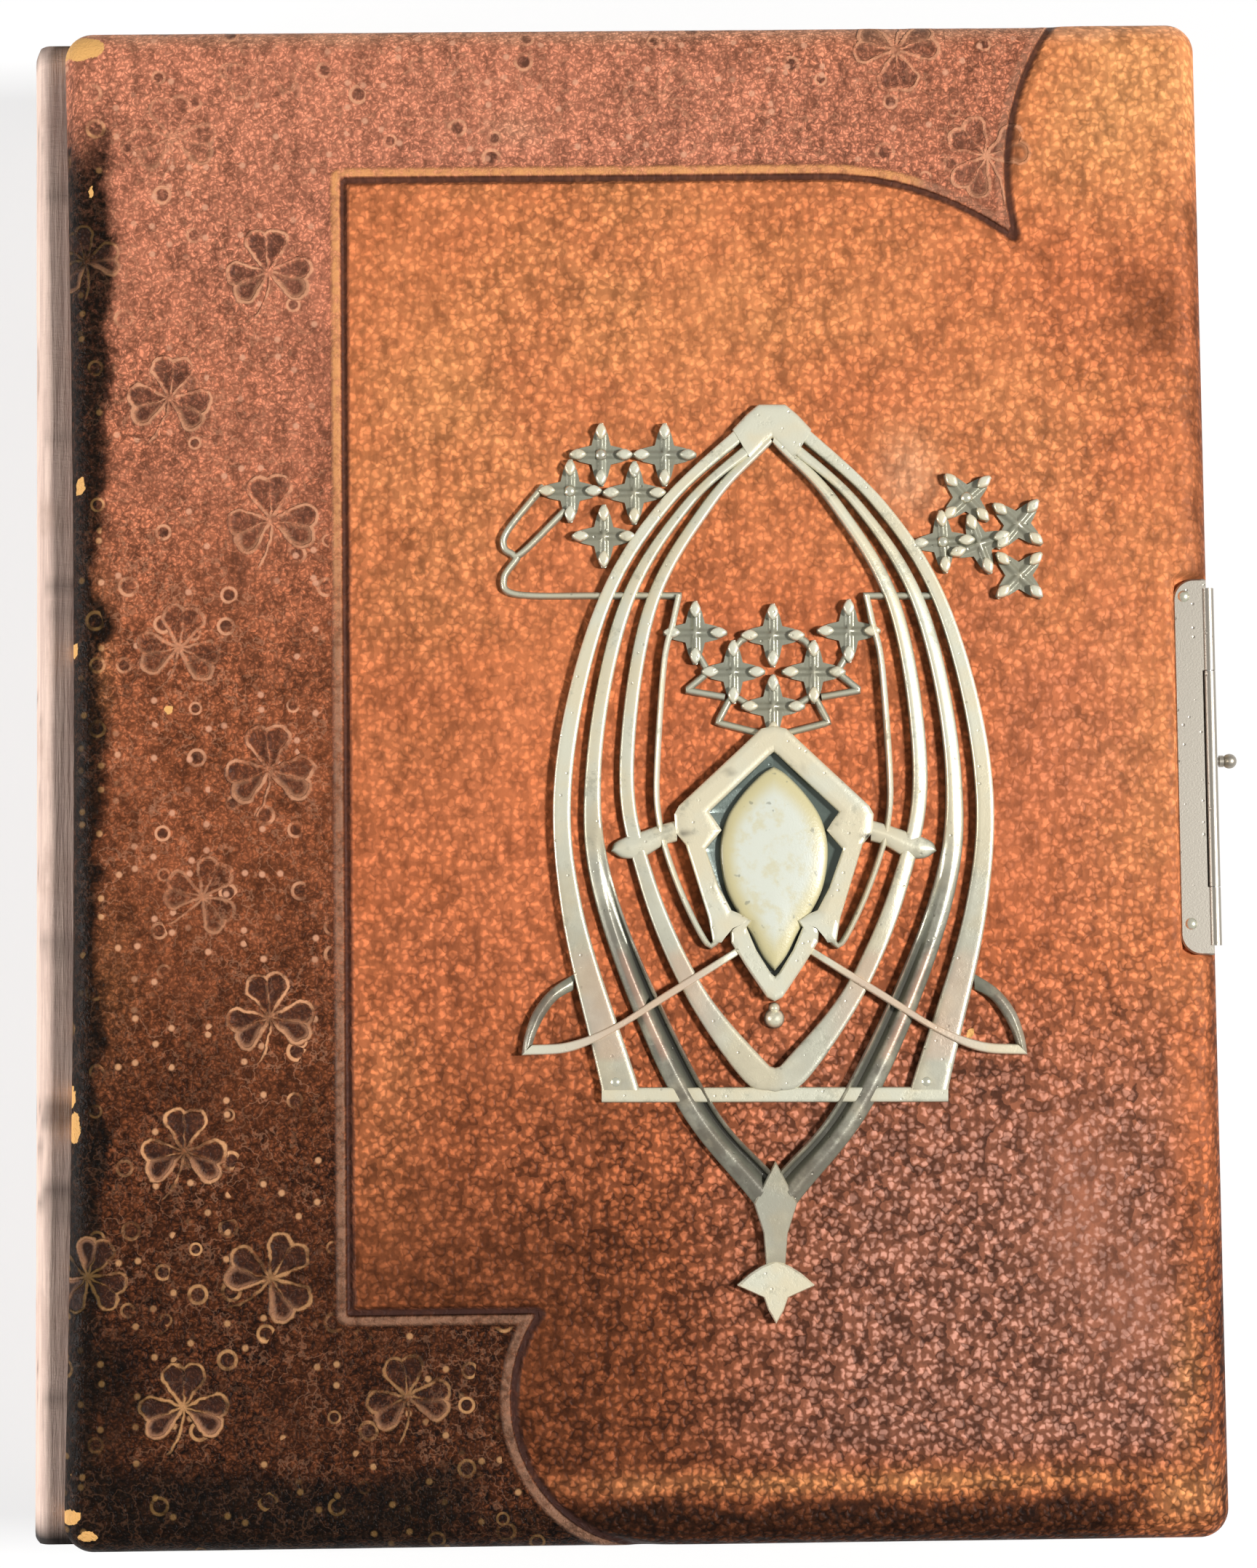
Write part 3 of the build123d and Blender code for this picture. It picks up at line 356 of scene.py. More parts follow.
def colour_part(colour, index=0):
    """One of a colour's three parts."""
    return read(tree_of(colour), "ShaderNodeSeparateColor", {0: colour}, index)


def made_once(build):
    """A node group's builder that finds the group where it is there already."""
    @wraps(build)
    def group():
        return bpy.data.node_groups.get(build.__name__) or build()
    return group


def node_group(name, place, **numbers):
    """A shader node group that is given a place and numbers: its tree, and what it is given as values."""
    tree = bpy.data.node_groups.new(name, "ShaderNodeTree")
    tree.interface.new_socket(place, in_out="INPUT", socket_type="NodeSocketVector")
    for key, default in numbers.items():
        socket = tree.interface.new_socket(key, in_out="INPUT", socket_type="NodeSocketFloat")
        socket.default_value = default
    given = tree.nodes.new("NodeGroupInput")
    return tree, {key: Value(given.outputs[key]) for key in (place, *numbers)}


def put_out(tree, **values):
    """Puts named numbers out of a node group."""
    for key in values:
        tree.interface.new_socket(key, in_out="OUTPUT", socket_type="NodeSocketFloat")
    made = tree.nodes.new("NodeGroupOutput")
    for key, value in values.items():
        feed(made.inputs[key], value)
    return tree


@made_once
def pebble_grain():
    """Leather grain: soft round pebbles on flat cells of a given size in millimetres, read on a plane
    that spreads as the surface drops, so that a cover's rolled sides carry them too."""
    tree, given = node_group("pebble_grain", "Place", Cell=1.6, Wander=0.4)
    scale = 1000.0 / given["Cell"]
    up = read(tree, "ShaderNodeSeparateXYZ", {0: given["Place"]}, 2)
    spread = (0.214 - up) * 6.5
    flat = vector("SCALE", given["Place"], spread)
    wander = read(tree, "ShaderNodeTexNoise", {"Vector": flat, "Scale": 700.0, "Detail": 1.0}, "Color",
                  noise_dimensions="2D")
    shift = vector("SUBTRACT", wander, (0.5, 0.5, 0.5))
    size = given["Cell"] * given["Wander"] * 0.004
    place = vector("ADD", flat, vector("SCALE", shift, size))
    away, pick = cells(place, scale, 0.85, feature="SMOOTH_F1", smoothness=0.22)
    return put_out(tree, Height=softly(away, 0.05, 0.58, 1.0, 0.0), Crease=softly(away, 0.42, 0.62),
                   Tone=colour_part(pick))


@made_once
def clover_line():
    """Heart-leaved clover: each lobe's distance is from a cone that widens along a line from the centre."""
    tree, given = node_group("clover_line", "Local")
    x, y, plain = (read(tree, "ShaderNodeSeparateXYZ", {0: given["Local"]}, axis) for axis in range(3))
    aside = abs(x)

    def lobe(along, across):
        """Distance in millimetres to a lobe, on a cone that widens from the clover's centre."""
        across = abs(across)
        dot = along * SHARE_ALONG + across * SHARE_ASIDE
        share = maths("ADD", dot, 0.0, clamp=True)
        off_a = along - share * LOBE_ALONG
        off_b = across - share * LOBE_ASIDE
        away = maths("SQRT", off_a * off_a + off_b * off_b)
        return away - share * LOBE_RADIUS

    upper = lobe(y, x)
    side_along = aside * SIDE_COS - y * SIDE_SIN
    side_across = aside * SIDE_SIN + y * SIDE_COS
    side = lobe(side_along, side_across)
    leaf = maths("MINIMUM", upper, side)
    rim = softly(abs(leaf), 0.16, 0.5, 1.0, 0.0)
    bend = x + y * y * 0.045
    stem = softly(abs(bend), 0.12, 0.42, 1.0, 0.0)
    stem = stem * softly(y, -9.0, -8.2)
    stem = stem * softly(y, -0.2, 0.6, 1.0, 0.0)
    crease = maths("MINIMUM", abs(x), abs(side_across))
    crease = softly(crease, 0.08, 0.34, 0.55, 0.0)
    inside = softly(leaf, -0.75, -0.3, 1.0, 0.0)
    line = most(most(rim, stem), crease * inside)
    low = softly(y, -0.5, -2.6) * softly(leaf, -1.3, -0.4)
    low = low * softly(leaf, 0.0, 0.4, 1.0, 0.0)
    return put_out(tree, Line=line * plain, Inside=inside * plain, Lobe=low * plain)


@made_once
def press_marks():
    """Small rings and dots pressed in the border: cells of two sizes, of which a share is marked."""
    tree, given = node_group("press_marks", "Place")
    away, chance = cells(given["Place"], 160.0, 0.9)
    picked = softly(colour_part(chance), 0.73, 0.76)
    away = away / softly(colour_part(chance, 1), 0.0, 1.0, 0.2, 0.32)
    rim = softly(abs(away - 0.82), 0.08, 0.24, 1.0, 0.0)
    hollow = softly(away, 0.45, 0.72, 1.0, 0.0)
    away, chance = cells(given["Place"], 300.0, 1.0)
    round_dot = softly(away, 0.1, 0.24, 1.0, 0.0)
    return put_out(tree, Ring=rim * picked, Hollow=hollow * picked,
                   Dot=round_dot * softly(colour_part(chance), 0.76, 0.88))


@made_once
def patina():
    """Wear on metal: a mottled film of dirt from two sizes of soft clouds, with fine pits and grit."""
    tree, given = node_group("patina", "Place", Amount=0.5)
    broad = clouds(given["Place"], 130.0, 5.0, 0.68)
    fine = clouds(given["Place"], 620.0, 5.0, 0.7)
    film = broad * 0.62 + fine * 0.38
    low = 0.62 - given["Amount"] * 0.3
    film = softly(film, low, low + 0.16)
    away, chance = cells(given["Place"], 900.0, 1.0, flat=False)
    pit = softly(away, 0.12, 0.3, 1.0, 0.0) * softly(colour_part(chance), 0.86, 0.9)
    return put_out(tree, Film=film, Pits=pit, Grit=clouds(given["Place"], 2600.0, 3.0, 0.7))


def use_group(tree, group, **inputs):
    """A node group placed in a material, with its own values."""
    node = put(tree, "ShaderNodeGroup", node_tree=group)
    for key, value in inputs.items():
        feed(node.inputs[key], value)
    return {socket.name: Value(socket) for socket in node.outputs}


def new_material(name):
    """A material's tree, its Principled shader and the place on the object."""
    material = bpy.data.materials.new(name)
    material.use_nodes = True
    tree = material.node_tree
    shader = tree.nodes["Principled BSDF"]
    place = read(tree, "ShaderNodeTexCoord", output="Object")
    return material, tree, shader, place


def seen_by(tree):
    """Light Path's outputs as values, by name."""
    return {socket.name: Value(socket) for socket in put(tree, "ShaderNodeLightPath").outputs}


def finish_surface(tree, shader, colour, roughness, height=None, depth=0.3, metallic=None):
    """Links a colour, a roughness and a height in millimetres to the shader."""
    feed(shader.inputs["Base Color"], colour)
    feed(shader.inputs["Roughness"], roughness)
    if height is not None:
        feed(shader.inputs["Normal"],
             read(tree, "ShaderNodeBump", {"Height": height, "Distance": depth * MM, "Strength": 1.0}))
    if metallic is not None:
        shader.inputs["Metallic"].default_value = metallic


def cover_leather_finish(colours):
    """Front cover leather: stained fields of colour with a painted sheen along the head edge, pebble grain,
    pressed marks, a bead rubbed pale with a painted highlight, and a groove darkened with painted shade.
    """
    material, tree, shader, place = new_material("cover_leather")
    edge = attribute(tree, "edge")
    in_border = softly(edge, -0.2, 0.2)
    base = mixed(in_border, colours.tan, colours.border)
    blotch = clouds(place, 75.0, 4.0, 0.62) * 0.6 + clouds(place, 330.0, 3.0, 0.6) * 0.4
    base = mixed(softly(blotch, 0.44, 0.62, 0.0, 0.6), base,
                 mixed(in_border, colours.russet, colours.umber))
    fields = [("gold", colours.gold), ("rose", colours.rose), ("umber", colours.umber),
              ("ghost", colours.ghost), ("black", colours.black)]
    speck = clouds(place, 900.0, 3.0, 0.7)
    for name, colour in fields:
        share = attribute(tree, name)
        ragged = (speck - 0.5) * 0.5
        ragged = ragged * softly(share, 0.0, 0.3)
        base = mixed(maths("ADD", share, ragged, clamp=True), base, colour)
    grain = use_group(tree, pebble_grain(), Place=place, Cell=1.62, Wander=0.24)
    fine = use_group(tree, pebble_grain(), Place=place, Cell=0.75, Wander=0.5)
    marks = use_group(tree, press_marks(), Place=place)
    waver = clouds(place, 330.0, 3.0, 0.5, output="Color")
    waver = vector("MULTIPLY", vector("SUBTRACT", waver, (0.5, 0.5, 0.5)), (1.5, 1.5, 0.0))
    local = vector("ADD", attribute(tree, "clover", "Vector"), waver)
    clover = use_group(tree, clover_line(), Local=local)
    faded = softly(clouds(place, 210.0, 3.0, 0.6), 0.38, 0.58, 0.16, 1.0)
    black = softly(attribute(tree, "black"), 0.3, 0.9, 1.0, 0.22)
    rough_grain = attribute(tree, "grain")
    tops = attribute(tree, "bloom") * softly(grain["Height"], 0.1, 0.9, 0.4, 1.0)
    base = mixed(tops, base, colours.bloom)
    # pebbles: pale tops, dark creases
    tone = softly(grain["Tone"], 0.0, 1.0, 0.78, 1.26)
    top = softly(grain["Height"], 0.0, 1.0, 0.56, 1.06)
    pebble = tone * top
    small = softly(fine["Tone"], 0.0, 1.0, 0.55, 1.5) * softly(fine["Height"], 0.0, 1.0, 0.5, 1.08)
    blend = softly(edge, -0.5, 0.5)
    shade = pebble * (1.0 - blend) + small * blend
    shade = 1.0 + (shade - 1.0) * rough_grain
    drag = softly(clouds(place, 420.0, 3.0, 0.6, stretch=(1.0, 0.4, 1.0)), 0.32, 0.6, 0.72, 1.1)
    shade = most(shade, 0.06) * drag
    grey = read(tree, "ShaderNodeCombineColor", {0: shade, 1: shade, 2: shade})
    base = mixed(1.0, base, grey, "MULTIPLY")
    # pressed marks keep to the border
    pressed = softly(edge, 2.2, 3.4)
    worn = clouds(place, 60.0, 3.0, 0.6)
    pressed = pressed * black
    shown = pressed * softly(worn, 0.36, 0.52)
    wander = clouds(place, 240.0, 3.0, 0.6)
    thread = softly(abs(wander - 0.5), 0.004, 0.03, 1.0, 0.0)
    thread = thread * (pressed * softly(worn, 0.42, 0.55, 0.25, 0.7))
    base = mixed(thread * 0.3, base, colours.line)
    free = softly(clover["Line"] + clover["Inside"], 0.0, 0.3, 1.0, 0.0)
    shown = shown * free
    ring = marks["Ring"] * shown
    hollow = marks["Hollow"] * shown
    dot = marks["Dot"] * (pressed * free)
    base = mixed(most(clover["Inside"], hollow) * 0.6, base, colours.hollow)
    lines = most(clover["Line"] * black, ring) * faded
    worn_line = mixed(attribute(tree, "black"), colours.line, colours.chip)
    base = mixed(lines * 0.85, base, worn_line)
    base = mixed(dot * 0.75, base, mixed(attribute(tree, "black"), colours.dot, colours.chip))
    base = mixed(clover["Lobe"] * 0.55, base, colours.lobe)
    # bead and groove by the distance from the panel's outline; the bead rubbed pale with a painted highlight,
    # the groove darkened with painted shade
    bead = softly(edge, 0.1, 0.5) * softly(edge, 1.5, 2.3, 1.0, 0.0)
    rubbed_and_highlight = attribute(tree, "bead") * softly(clouds(place, 520.0, 4.0, 0.7), 0.34, 0.62, 0.35, 1.0)
    bead_colour = mixed(softly(attribute(tree, "bead"), 0.65, 0.95), colours.bead_low, colours.bead)
    # the bead's paler colour: rubbed wear and a painted highlight
    base = mixed(bead * rubbed_and_highlight, base, bead_colour)
    groove = softly(edge, -1.6, -0.7) * softly(edge, -0.05, 0.3, 1.0, 0.0)
    # painted shade in the groove
    base = mixed(groove * 0.88, base, colours.groove)
    torn = attribute(tree, "chip") + (clouds(place, 700.0, 4.0, 0.7) - 0.5) * 1.1
    base = mixed(softly(torn, 0.42, 0.58), base, colours.chip)
    height = grain["Height"] * ((1.0 - blend) * 0.32)
    height = height + fine["Height"] * (blend * 0.22)
    height = height * rough_grain
    height = height + clover["Line"] * 0.75
    height = height + bead * 0.5
    height = height - groove * 1.0
    rough = softly(clouds(place, 420.0, 4.0, 0.6), 0.3, 0.7, 0.42, 0.62)
    finish_surface(tree, shader, base, rough, height, 0.34)
    shader.inputs["Specular IOR Level"].default_value = 0.07
    return material


def plain_leather_finish(colours):
    """The back cover's leather: the same grain, umber, with small patches worn pale."""
    material, tree, shader, place = new_material("back_leather")
    grain = use_group(tree, pebble_grain(), Place=place, Cell=1.55, Wander=0.35)
    stain = clouds(place, 22.0, 5.0, 0.6)
    base = mixed(softly(stain, 0.35, 0.65), colours.umber, colours.border)
    base = mixed(grain["Crease"] * 0.55, base, colours.black)
    base = mixed(softly(clouds(place, 260.0, 4.0, 0.7), 0.66, 0.74, 0.0, 0.5), base, colours.line)
    rough = softly(stain, 0.3, 0.7, 0.45, 0.65)
    finish_surface(tree, shader, base, rough, grain["Height"], 0.2)
    return material


def casting_finish(colours):
    """Cast ornament: champagne metal under a mottled dark film, paler on its worn tops, with painted shade in
    the middle band's channel, the bezel's slots and the bezel's floor.
    """
    material, tree, shader, place = new_material("casting")
    wear = use_group(tree, patina(), Place=place, Amount=0.42)
    high = attribute(tree, "rise")
    tops = softly(high, 0.5, 0.98)
    warm = softly(clouds(place, 90.0, 3.0, 0.5), 0.4, 0.62)
    silver = mixed(warm, colours.silver, colours.champagne)
    streaks = clouds(place, 160.0, 4.0, 0.65)
    dull = attribute(tree, "dull") * softly(streaks, 0.3, 0.6, 0.6, 1.0)
    silver = mixed(dull, silver, colours.pewter)
    base = mixed(softly(wear["Film"], 0.0, 1.0, 0.0, 0.5), silver, colours.tarnish)
    base = mixed((1.0 - tops) * 0.85, base, colours.tarnish)
    base = mixed(wear["Pits"] * 0.3, base, colours.grime)
    # painted shade on the bezel's floor round the stone, tinted green-grey
    base = mixed(attribute(tree, "inside"), base, colours.recess)
    # painted shade in the middle band's channel and the bezel's slots
    base = mixed(attribute(tree, "shade"), base, colours.grime)
    base = mixed(attribute(tree, "copper"), base, colours.copper)
    rough = softly(wear["Film"], 0.0, 1.0, 0.3, 0.55)
    height = wear["Grit"] * 0.3 + wear["Film"] * -0.25
    height = height - wear["Pits"] * 0.6
    finish_surface(tree, shader, base, rough, height, 0.1, metallic=0.35)
    return material


def metal_finish(name, bright, dull, amount, roughness, metallic=0.85):
    """Plain plated metal with a thin film of patina."""
    material, tree, shader, place = new_material(name)
    wear = use_group(tree, patina(), Place=place, Amount=amount)
    base = mixed(softly(wear["Film"], 0.0, 1.0, 0.0, 0.6), bright, dull)
    base = mixed(wear["Pits"] * 0.45, base, dull)
    rough = softly(wear["Film"], 0.0, 1.0, roughness, roughness + 0.18)
    height = wear["Grit"] * 0.4 - wear["Pits"]
    finish_surface(tree, shader, base, rough, height, 0.05, metallic=metallic)
    return material


def cabochon_finish(colours):
    """Cream stone: blue-white in the middle, cream yellow at the rim, with small dark pits and painted shade
    round its foot.
    """
    material, tree, shader, place = new_material("cabochon_stone")
    rim = attribute(tree, "rim")
    wear = use_group(tree, patina(), Place=place, Amount=0.3)
    base = mixed(softly(rim, 0.62, 0.9), colours.stone, colours.stone_rim)
    base = mixed(softly(clouds(place, 300.0, 5.0, 0.65), 0.47, 0.66, 0.0, 0.55), base, colours.stone_rim)
    # painted shade round the stone's foot
    base = mixed(softly(rim, 0.95, 1.0, 0.0, 0.55), base, colours.tarnish)
    marks = softly(clouds(place, 420.0, 2.0, 0.5), 0.65, 0.7, 0.0, 0.6)
    base = mixed(marks, base, colours.tarnish)
    finish_surface(tree, shader, base, 0.3, wear["Grit"], 0.04)
    shader.inputs["Coat Weight"].default_value = 0.3
    return material


def cloth_finish(colours):
    """Spine cloth: fibres that run along the spine, crossed by a finer weave."""
    material, tree, shader, place = new_material("spine_cloth")
    fibre = clouds(place, 900.0, 5.0, 0.7, stretch=(1.0, 0.05, 1.0))
    cross = clouds(place, 1300.0, 3.0, 0.6, stretch=(0.2, 1.0, 0.2))
    soil = clouds(place, 45.0, 5.0, 0.6)
    base = mixed(softly(fibre, 0.38, 0.62), colours.cloth_dark, colours.cloth)
    base = mixed(softly(soil, 0.5, 0.75, 0.0, 0.55), base, colours.cloth_soil)
    end = attribute(tree, "soil")
    base = mixed(end, base, colours.black)
    height = fibre + cross * 0.5
    finish_surface(tree, shader, base, 0.85, height, 0.25)
    return material


def paper_finish(name, paper, soiled, scale, layered=False):
    """Card or paper: faint fibres and foxing, with lines along a leaf's cut edge where asked."""
    material, tree, shader, place = new_material(name)
    fibre = clouds(place, 1100.0, 4.0, 0.7)
    fox = clouds(place, scale, 5.0, 0.62)
    base = mixed(softly(fox, 0.46, 0.76, 0.05, 0.5), paper, soiled)
    height = fibre
    if layered:
        ply = clouds(place, 1.0, 3.0, 0.6, stretch=(60.0, 60.0, 3200.0))
        base = mixed(softly(ply, 0.45, 0.6, 0.0, 0.35), base, soiled)
        height = fibre + ply
    finish_surface(tree, shader, base, 0.82, height, 0.08)
    return material


# The album's surfaces


def border_outline():
    """The border's inner edge as one line of points, from the head edge round to the tail edge."""
    size = np.array([2 * HALF_WIDTH, 2 * HALF_HEIGHT])
    head, shoulder, run, tail = (np.array(shares) * size
                                 for shares in (HEAD_CURVE, SHOULDER, PANEL_RUN, TAIL_CURVE))
    line = np.vstack([arc_through(head), arc_through(shoulder)[1:], evenly(run[:2], 90)[1:],
                      evenly(run[1:3], 160)[1:], evenly(run[2:], 30)[1:], arc_through(tail)[1:]])
    first = line[0] + (line[0] - line[1]) * 3
    last = line[-1] + (line[-1] - line[-2]) * 3
    return np.vstack([first, line, last])


def border_distance(x, y):
    """Signed distance to the border's inner edge in millimetres, positive in the border."""
    line = border_outline()
    place = np.stack([x, y], -1)
    nearest = np.full(x.shape, 1e9)
    for start, end in zip(line[:-1], line[1:]):
        run = end - start
        share = np.clip(((place - start) @ run) / (run @ run), 0, 1)
        nearest = np.minimum(nearest, np.linalg.norm(place - start - share[..., None] * run, axis=-1))
    far = 3 * HALF_HEIGHT
    ring = np.vstack([line, [(line[-1][0], -far), (-far, -far), (-far, far), (line[0][0], far)]])
    inside = np.zeros(x.shape, bool)
    for (ax, ay), (bx, by) in zip(ring, np.roll(ring, -1, axis=0)):
        if ay != by:
            crosses = (ay > y) != (by > y)
            inside ^= crosses & (x < (bx - ax) * (y - ay) / (by - ay) + ax)
    return np.where(inside, nearest, -nearest)


def clover_places(x, y):
    """Each point's place from its nearest clover's centre, in that clover's own turn and size, and how
    plainly that clover shows."""
    local = np.zeros(x.shape + (3,))
    local[..., :2] = 99.0
    for cx, cy, turn, size, plain in CLOVERS:
        dx, dy = x - cx, y - cy
        near = np.hypot(dx, dy) < CLOVER_REACH
        c, s = np.cos(radians(turn)), np.sin(radians(turn))
        local[near] = np.stack([(c * dx + s * dy) / size, (c * dy - s * dx) / size,
                                np.full(x.shape, plain)], -1)[near]
    return local


def leaf_distance(along, across):
    """Distance to a clover's leaf: a lobe each side, on a cone widening from the centre."""
    across = np.abs(across)
    share = np.clip(along * SHARE_ALONG + across * SHARE_ASIDE, 0, 1)
    return np.hypot(along - LOBE_ALONG * share, across - LOBE_ASIDE * share) - LOBE_RADIUS * share


def spots(x, y, rows, ragged=0.5, seed=5):
    """Soft round or oval spots summed up, with their edges broken by cloudy noise; 0 to 1."""
    total = np.zeros(x.shape)
    for cx, cy, rx, ry, strength in rows:
        total = np.maximum(total, strength * np.exp(-((x - cx) / rx) ** 2 - ((y - cy) / ry) ** 2))
    cloud = cloudy(x, y, 14.0, seed) - 0.5
    return np.clip(total + cloud * ragged * np.sqrt(np.clip(total, 0, 1)), 0, 1)


def strongest(*layers):
    """The strongest of several layers at each place."""
    return np.maximum.reduce(layers)


def cover_fields(x, y, edge, rim):
    """Where each colour of the front cover lies, as soft fields broken by noise."""
    border = smooth(-0.3, 0.3, edge)
    panel = 1 - border
    cloud = cloudy(x, y, 26.0, 11)
    fine = cloudy(x, y, 7.0, 23)
    height = y / HALF_HEIGHT
    gold = strongest(
        panel * spots(x, y, [(5, 90, 55, 40, 0.5), (95, 130, 28, 24, 0.95), (70, 60, 40, 35, 0.34),
                             (-35, 60, 25, 45, 0.5), (98, 20, 14, 70, 0.34), (-48, -65, 9, 30, 0.2),
                             (40, -131, 60, 2.4, 0.8), (99.5, -114, 4, 16, 0.85), (101, -134, 9, 6, 0.8)],
                      0.9),
        border * spots(x, y, [(-82, 117, 6, 6, 0.5), (-100, -40, 5, 18, 0.35), (-101, 20, 3, 14, 0.3),
                              (30, 138, 20, 4, 0.35)], 0.8, 9),
    )
    umber = strongest(
        panel * spots(x, y, [(-44, 5, 16, 60, 0.16), (80, -82, 8, 16, 0.5), (89, -98, 8, 12, 0.5)],
                      0.7, 29),
        panel * smooth(-0.15, -0.75, height + 0.35 * (cloud - 0.5)) * (1.0 - 0.45 * smooth(-40, 40, x)),
        panel * spots(x, y, [(-2, -86, 18, 16, 0.28), (48, -88, 14, 14, 0.3), (-31, -62, 9, 28, 0.55),
                             (65, -57, 9, 7, 0.75)], 0.8, 31),
        panel * smooth(-108, -134, y) * (0.62 - 0.4 * smooth(60, 95, x)),
    )
    umber *= 1 - 0.85 * gold
    umber = strongest(
        umber,
        smooth(4.5, 1.0, HALF_WIDTH - x + 4 * (fine - 0.5)) * smooth(118, 100, y) * 0.75,
        panel * spots(x, y, [(98, 85, 7, 9, 0.6), (108, -104, 5, 17, 1.0)], 0.7, 37),
        border * smooth(0.5, -0.7, height + 0.3 * (cloud - 0.5)) * 0.9,
    )
    black = strongest(
        smooth(10.5, 6.5, x + HALF_WIDTH + 8 * (fine - 0.5))
        * smooth(132, 112, y + 12 * (fine - 0.5)) * 0.98,
        smooth(3.5, 1.0, rim + 4 * (fine - 0.5)) * smooth(-60, -100, x) * (y < 120) * 0.9,
        border * smooth(-120, -131, y + 9 * (cloud - 0.5)) * smooth(-10, -40, x) * 0.98,
        smooth(-132.5, -136.5, y + 4 * (fine - 0.5)) * (0.85 - 0.8 * smooth(82, 96, x)),
        border * spots(x, y, [(-100, -112, 15, 24, 0.9), (-99, -131, 16, 9, 0.95),
                              (-58, -137, 36, 6, 1.0)], 0.7, 43),
        spots(x, y, [(109, -104, 3, 14, 0.6)], 0.5, 47),
        border * smooth(-84, -106, x + 12 * (cloud - 0.5)) * smooth(60, -100, y) * 0.72,
        border * smooth(0, -110, y + 20 * (cloud - 0.5)) * 0.58,
    )
    rose = border * smooth(0, 120, y + 24 * (cloud - 0.5)) * (0.9 - 0.3 * smooth(10, 70, x))
    # pale bloom spots, and a painted sheen along the head edge
    ghost = strongest(
        spots(x, y, [(51, 55, 6, 8, 0.35), (-22, 122, 5, 3, 0.25)], 0.4, 3),
        smooth(137.5, 141.5, y + 3 * (fine - 0.5)) * 0.4,
    )
    chips = spots(x, y, [(-104, 139, 6, 3.5, 1.0), (-109, 95, 1.6, 9, 1.0), (-102, 111, 1.4, 2.6, 0.9),
                         (-104, 55, 1.2, 2, 0.9), (-105.3, 24.4, 1.0, 2, 0.9), (-99, 115, 1.2, 1.2, 0.8),
                         (-106, -135.5, 3.0, 2.2, 1.0), (-102.5, -139.2, 2.6, 1.5, 1.0),
                         (24, 118, 3.0, 3.0, 0.35), (-87.5, 13, 0.9, 0.9, 1.0), (-106, -59, 1.2, 3.0, 1.0),
                         (-105.4, -64.5, 2.0, 4.5, 1.0), (60.6, -49.1, 0.9, 0.9, 1.0),
                         (-106, -128, 1.2, 3.0, 0.8)], 1.2, 41)
    return {"gold": gold, "rose": rose, "umber": umber, "ghost": ghost, "black": black,
            "chip": smooth(0.45, 0.7, chips)}


def cover_lines(half, inner):
    """Grid lines across the cover: even steps on the rolled edges and given steps between them."""
    turn = np.radians(np.linspace(0, 90, 9))
    roll = half - EDGE_ROLL * (1 - np.cos(turn))
    return np.r_[-roll[:-1], inner, roll[:-1][::-1]]


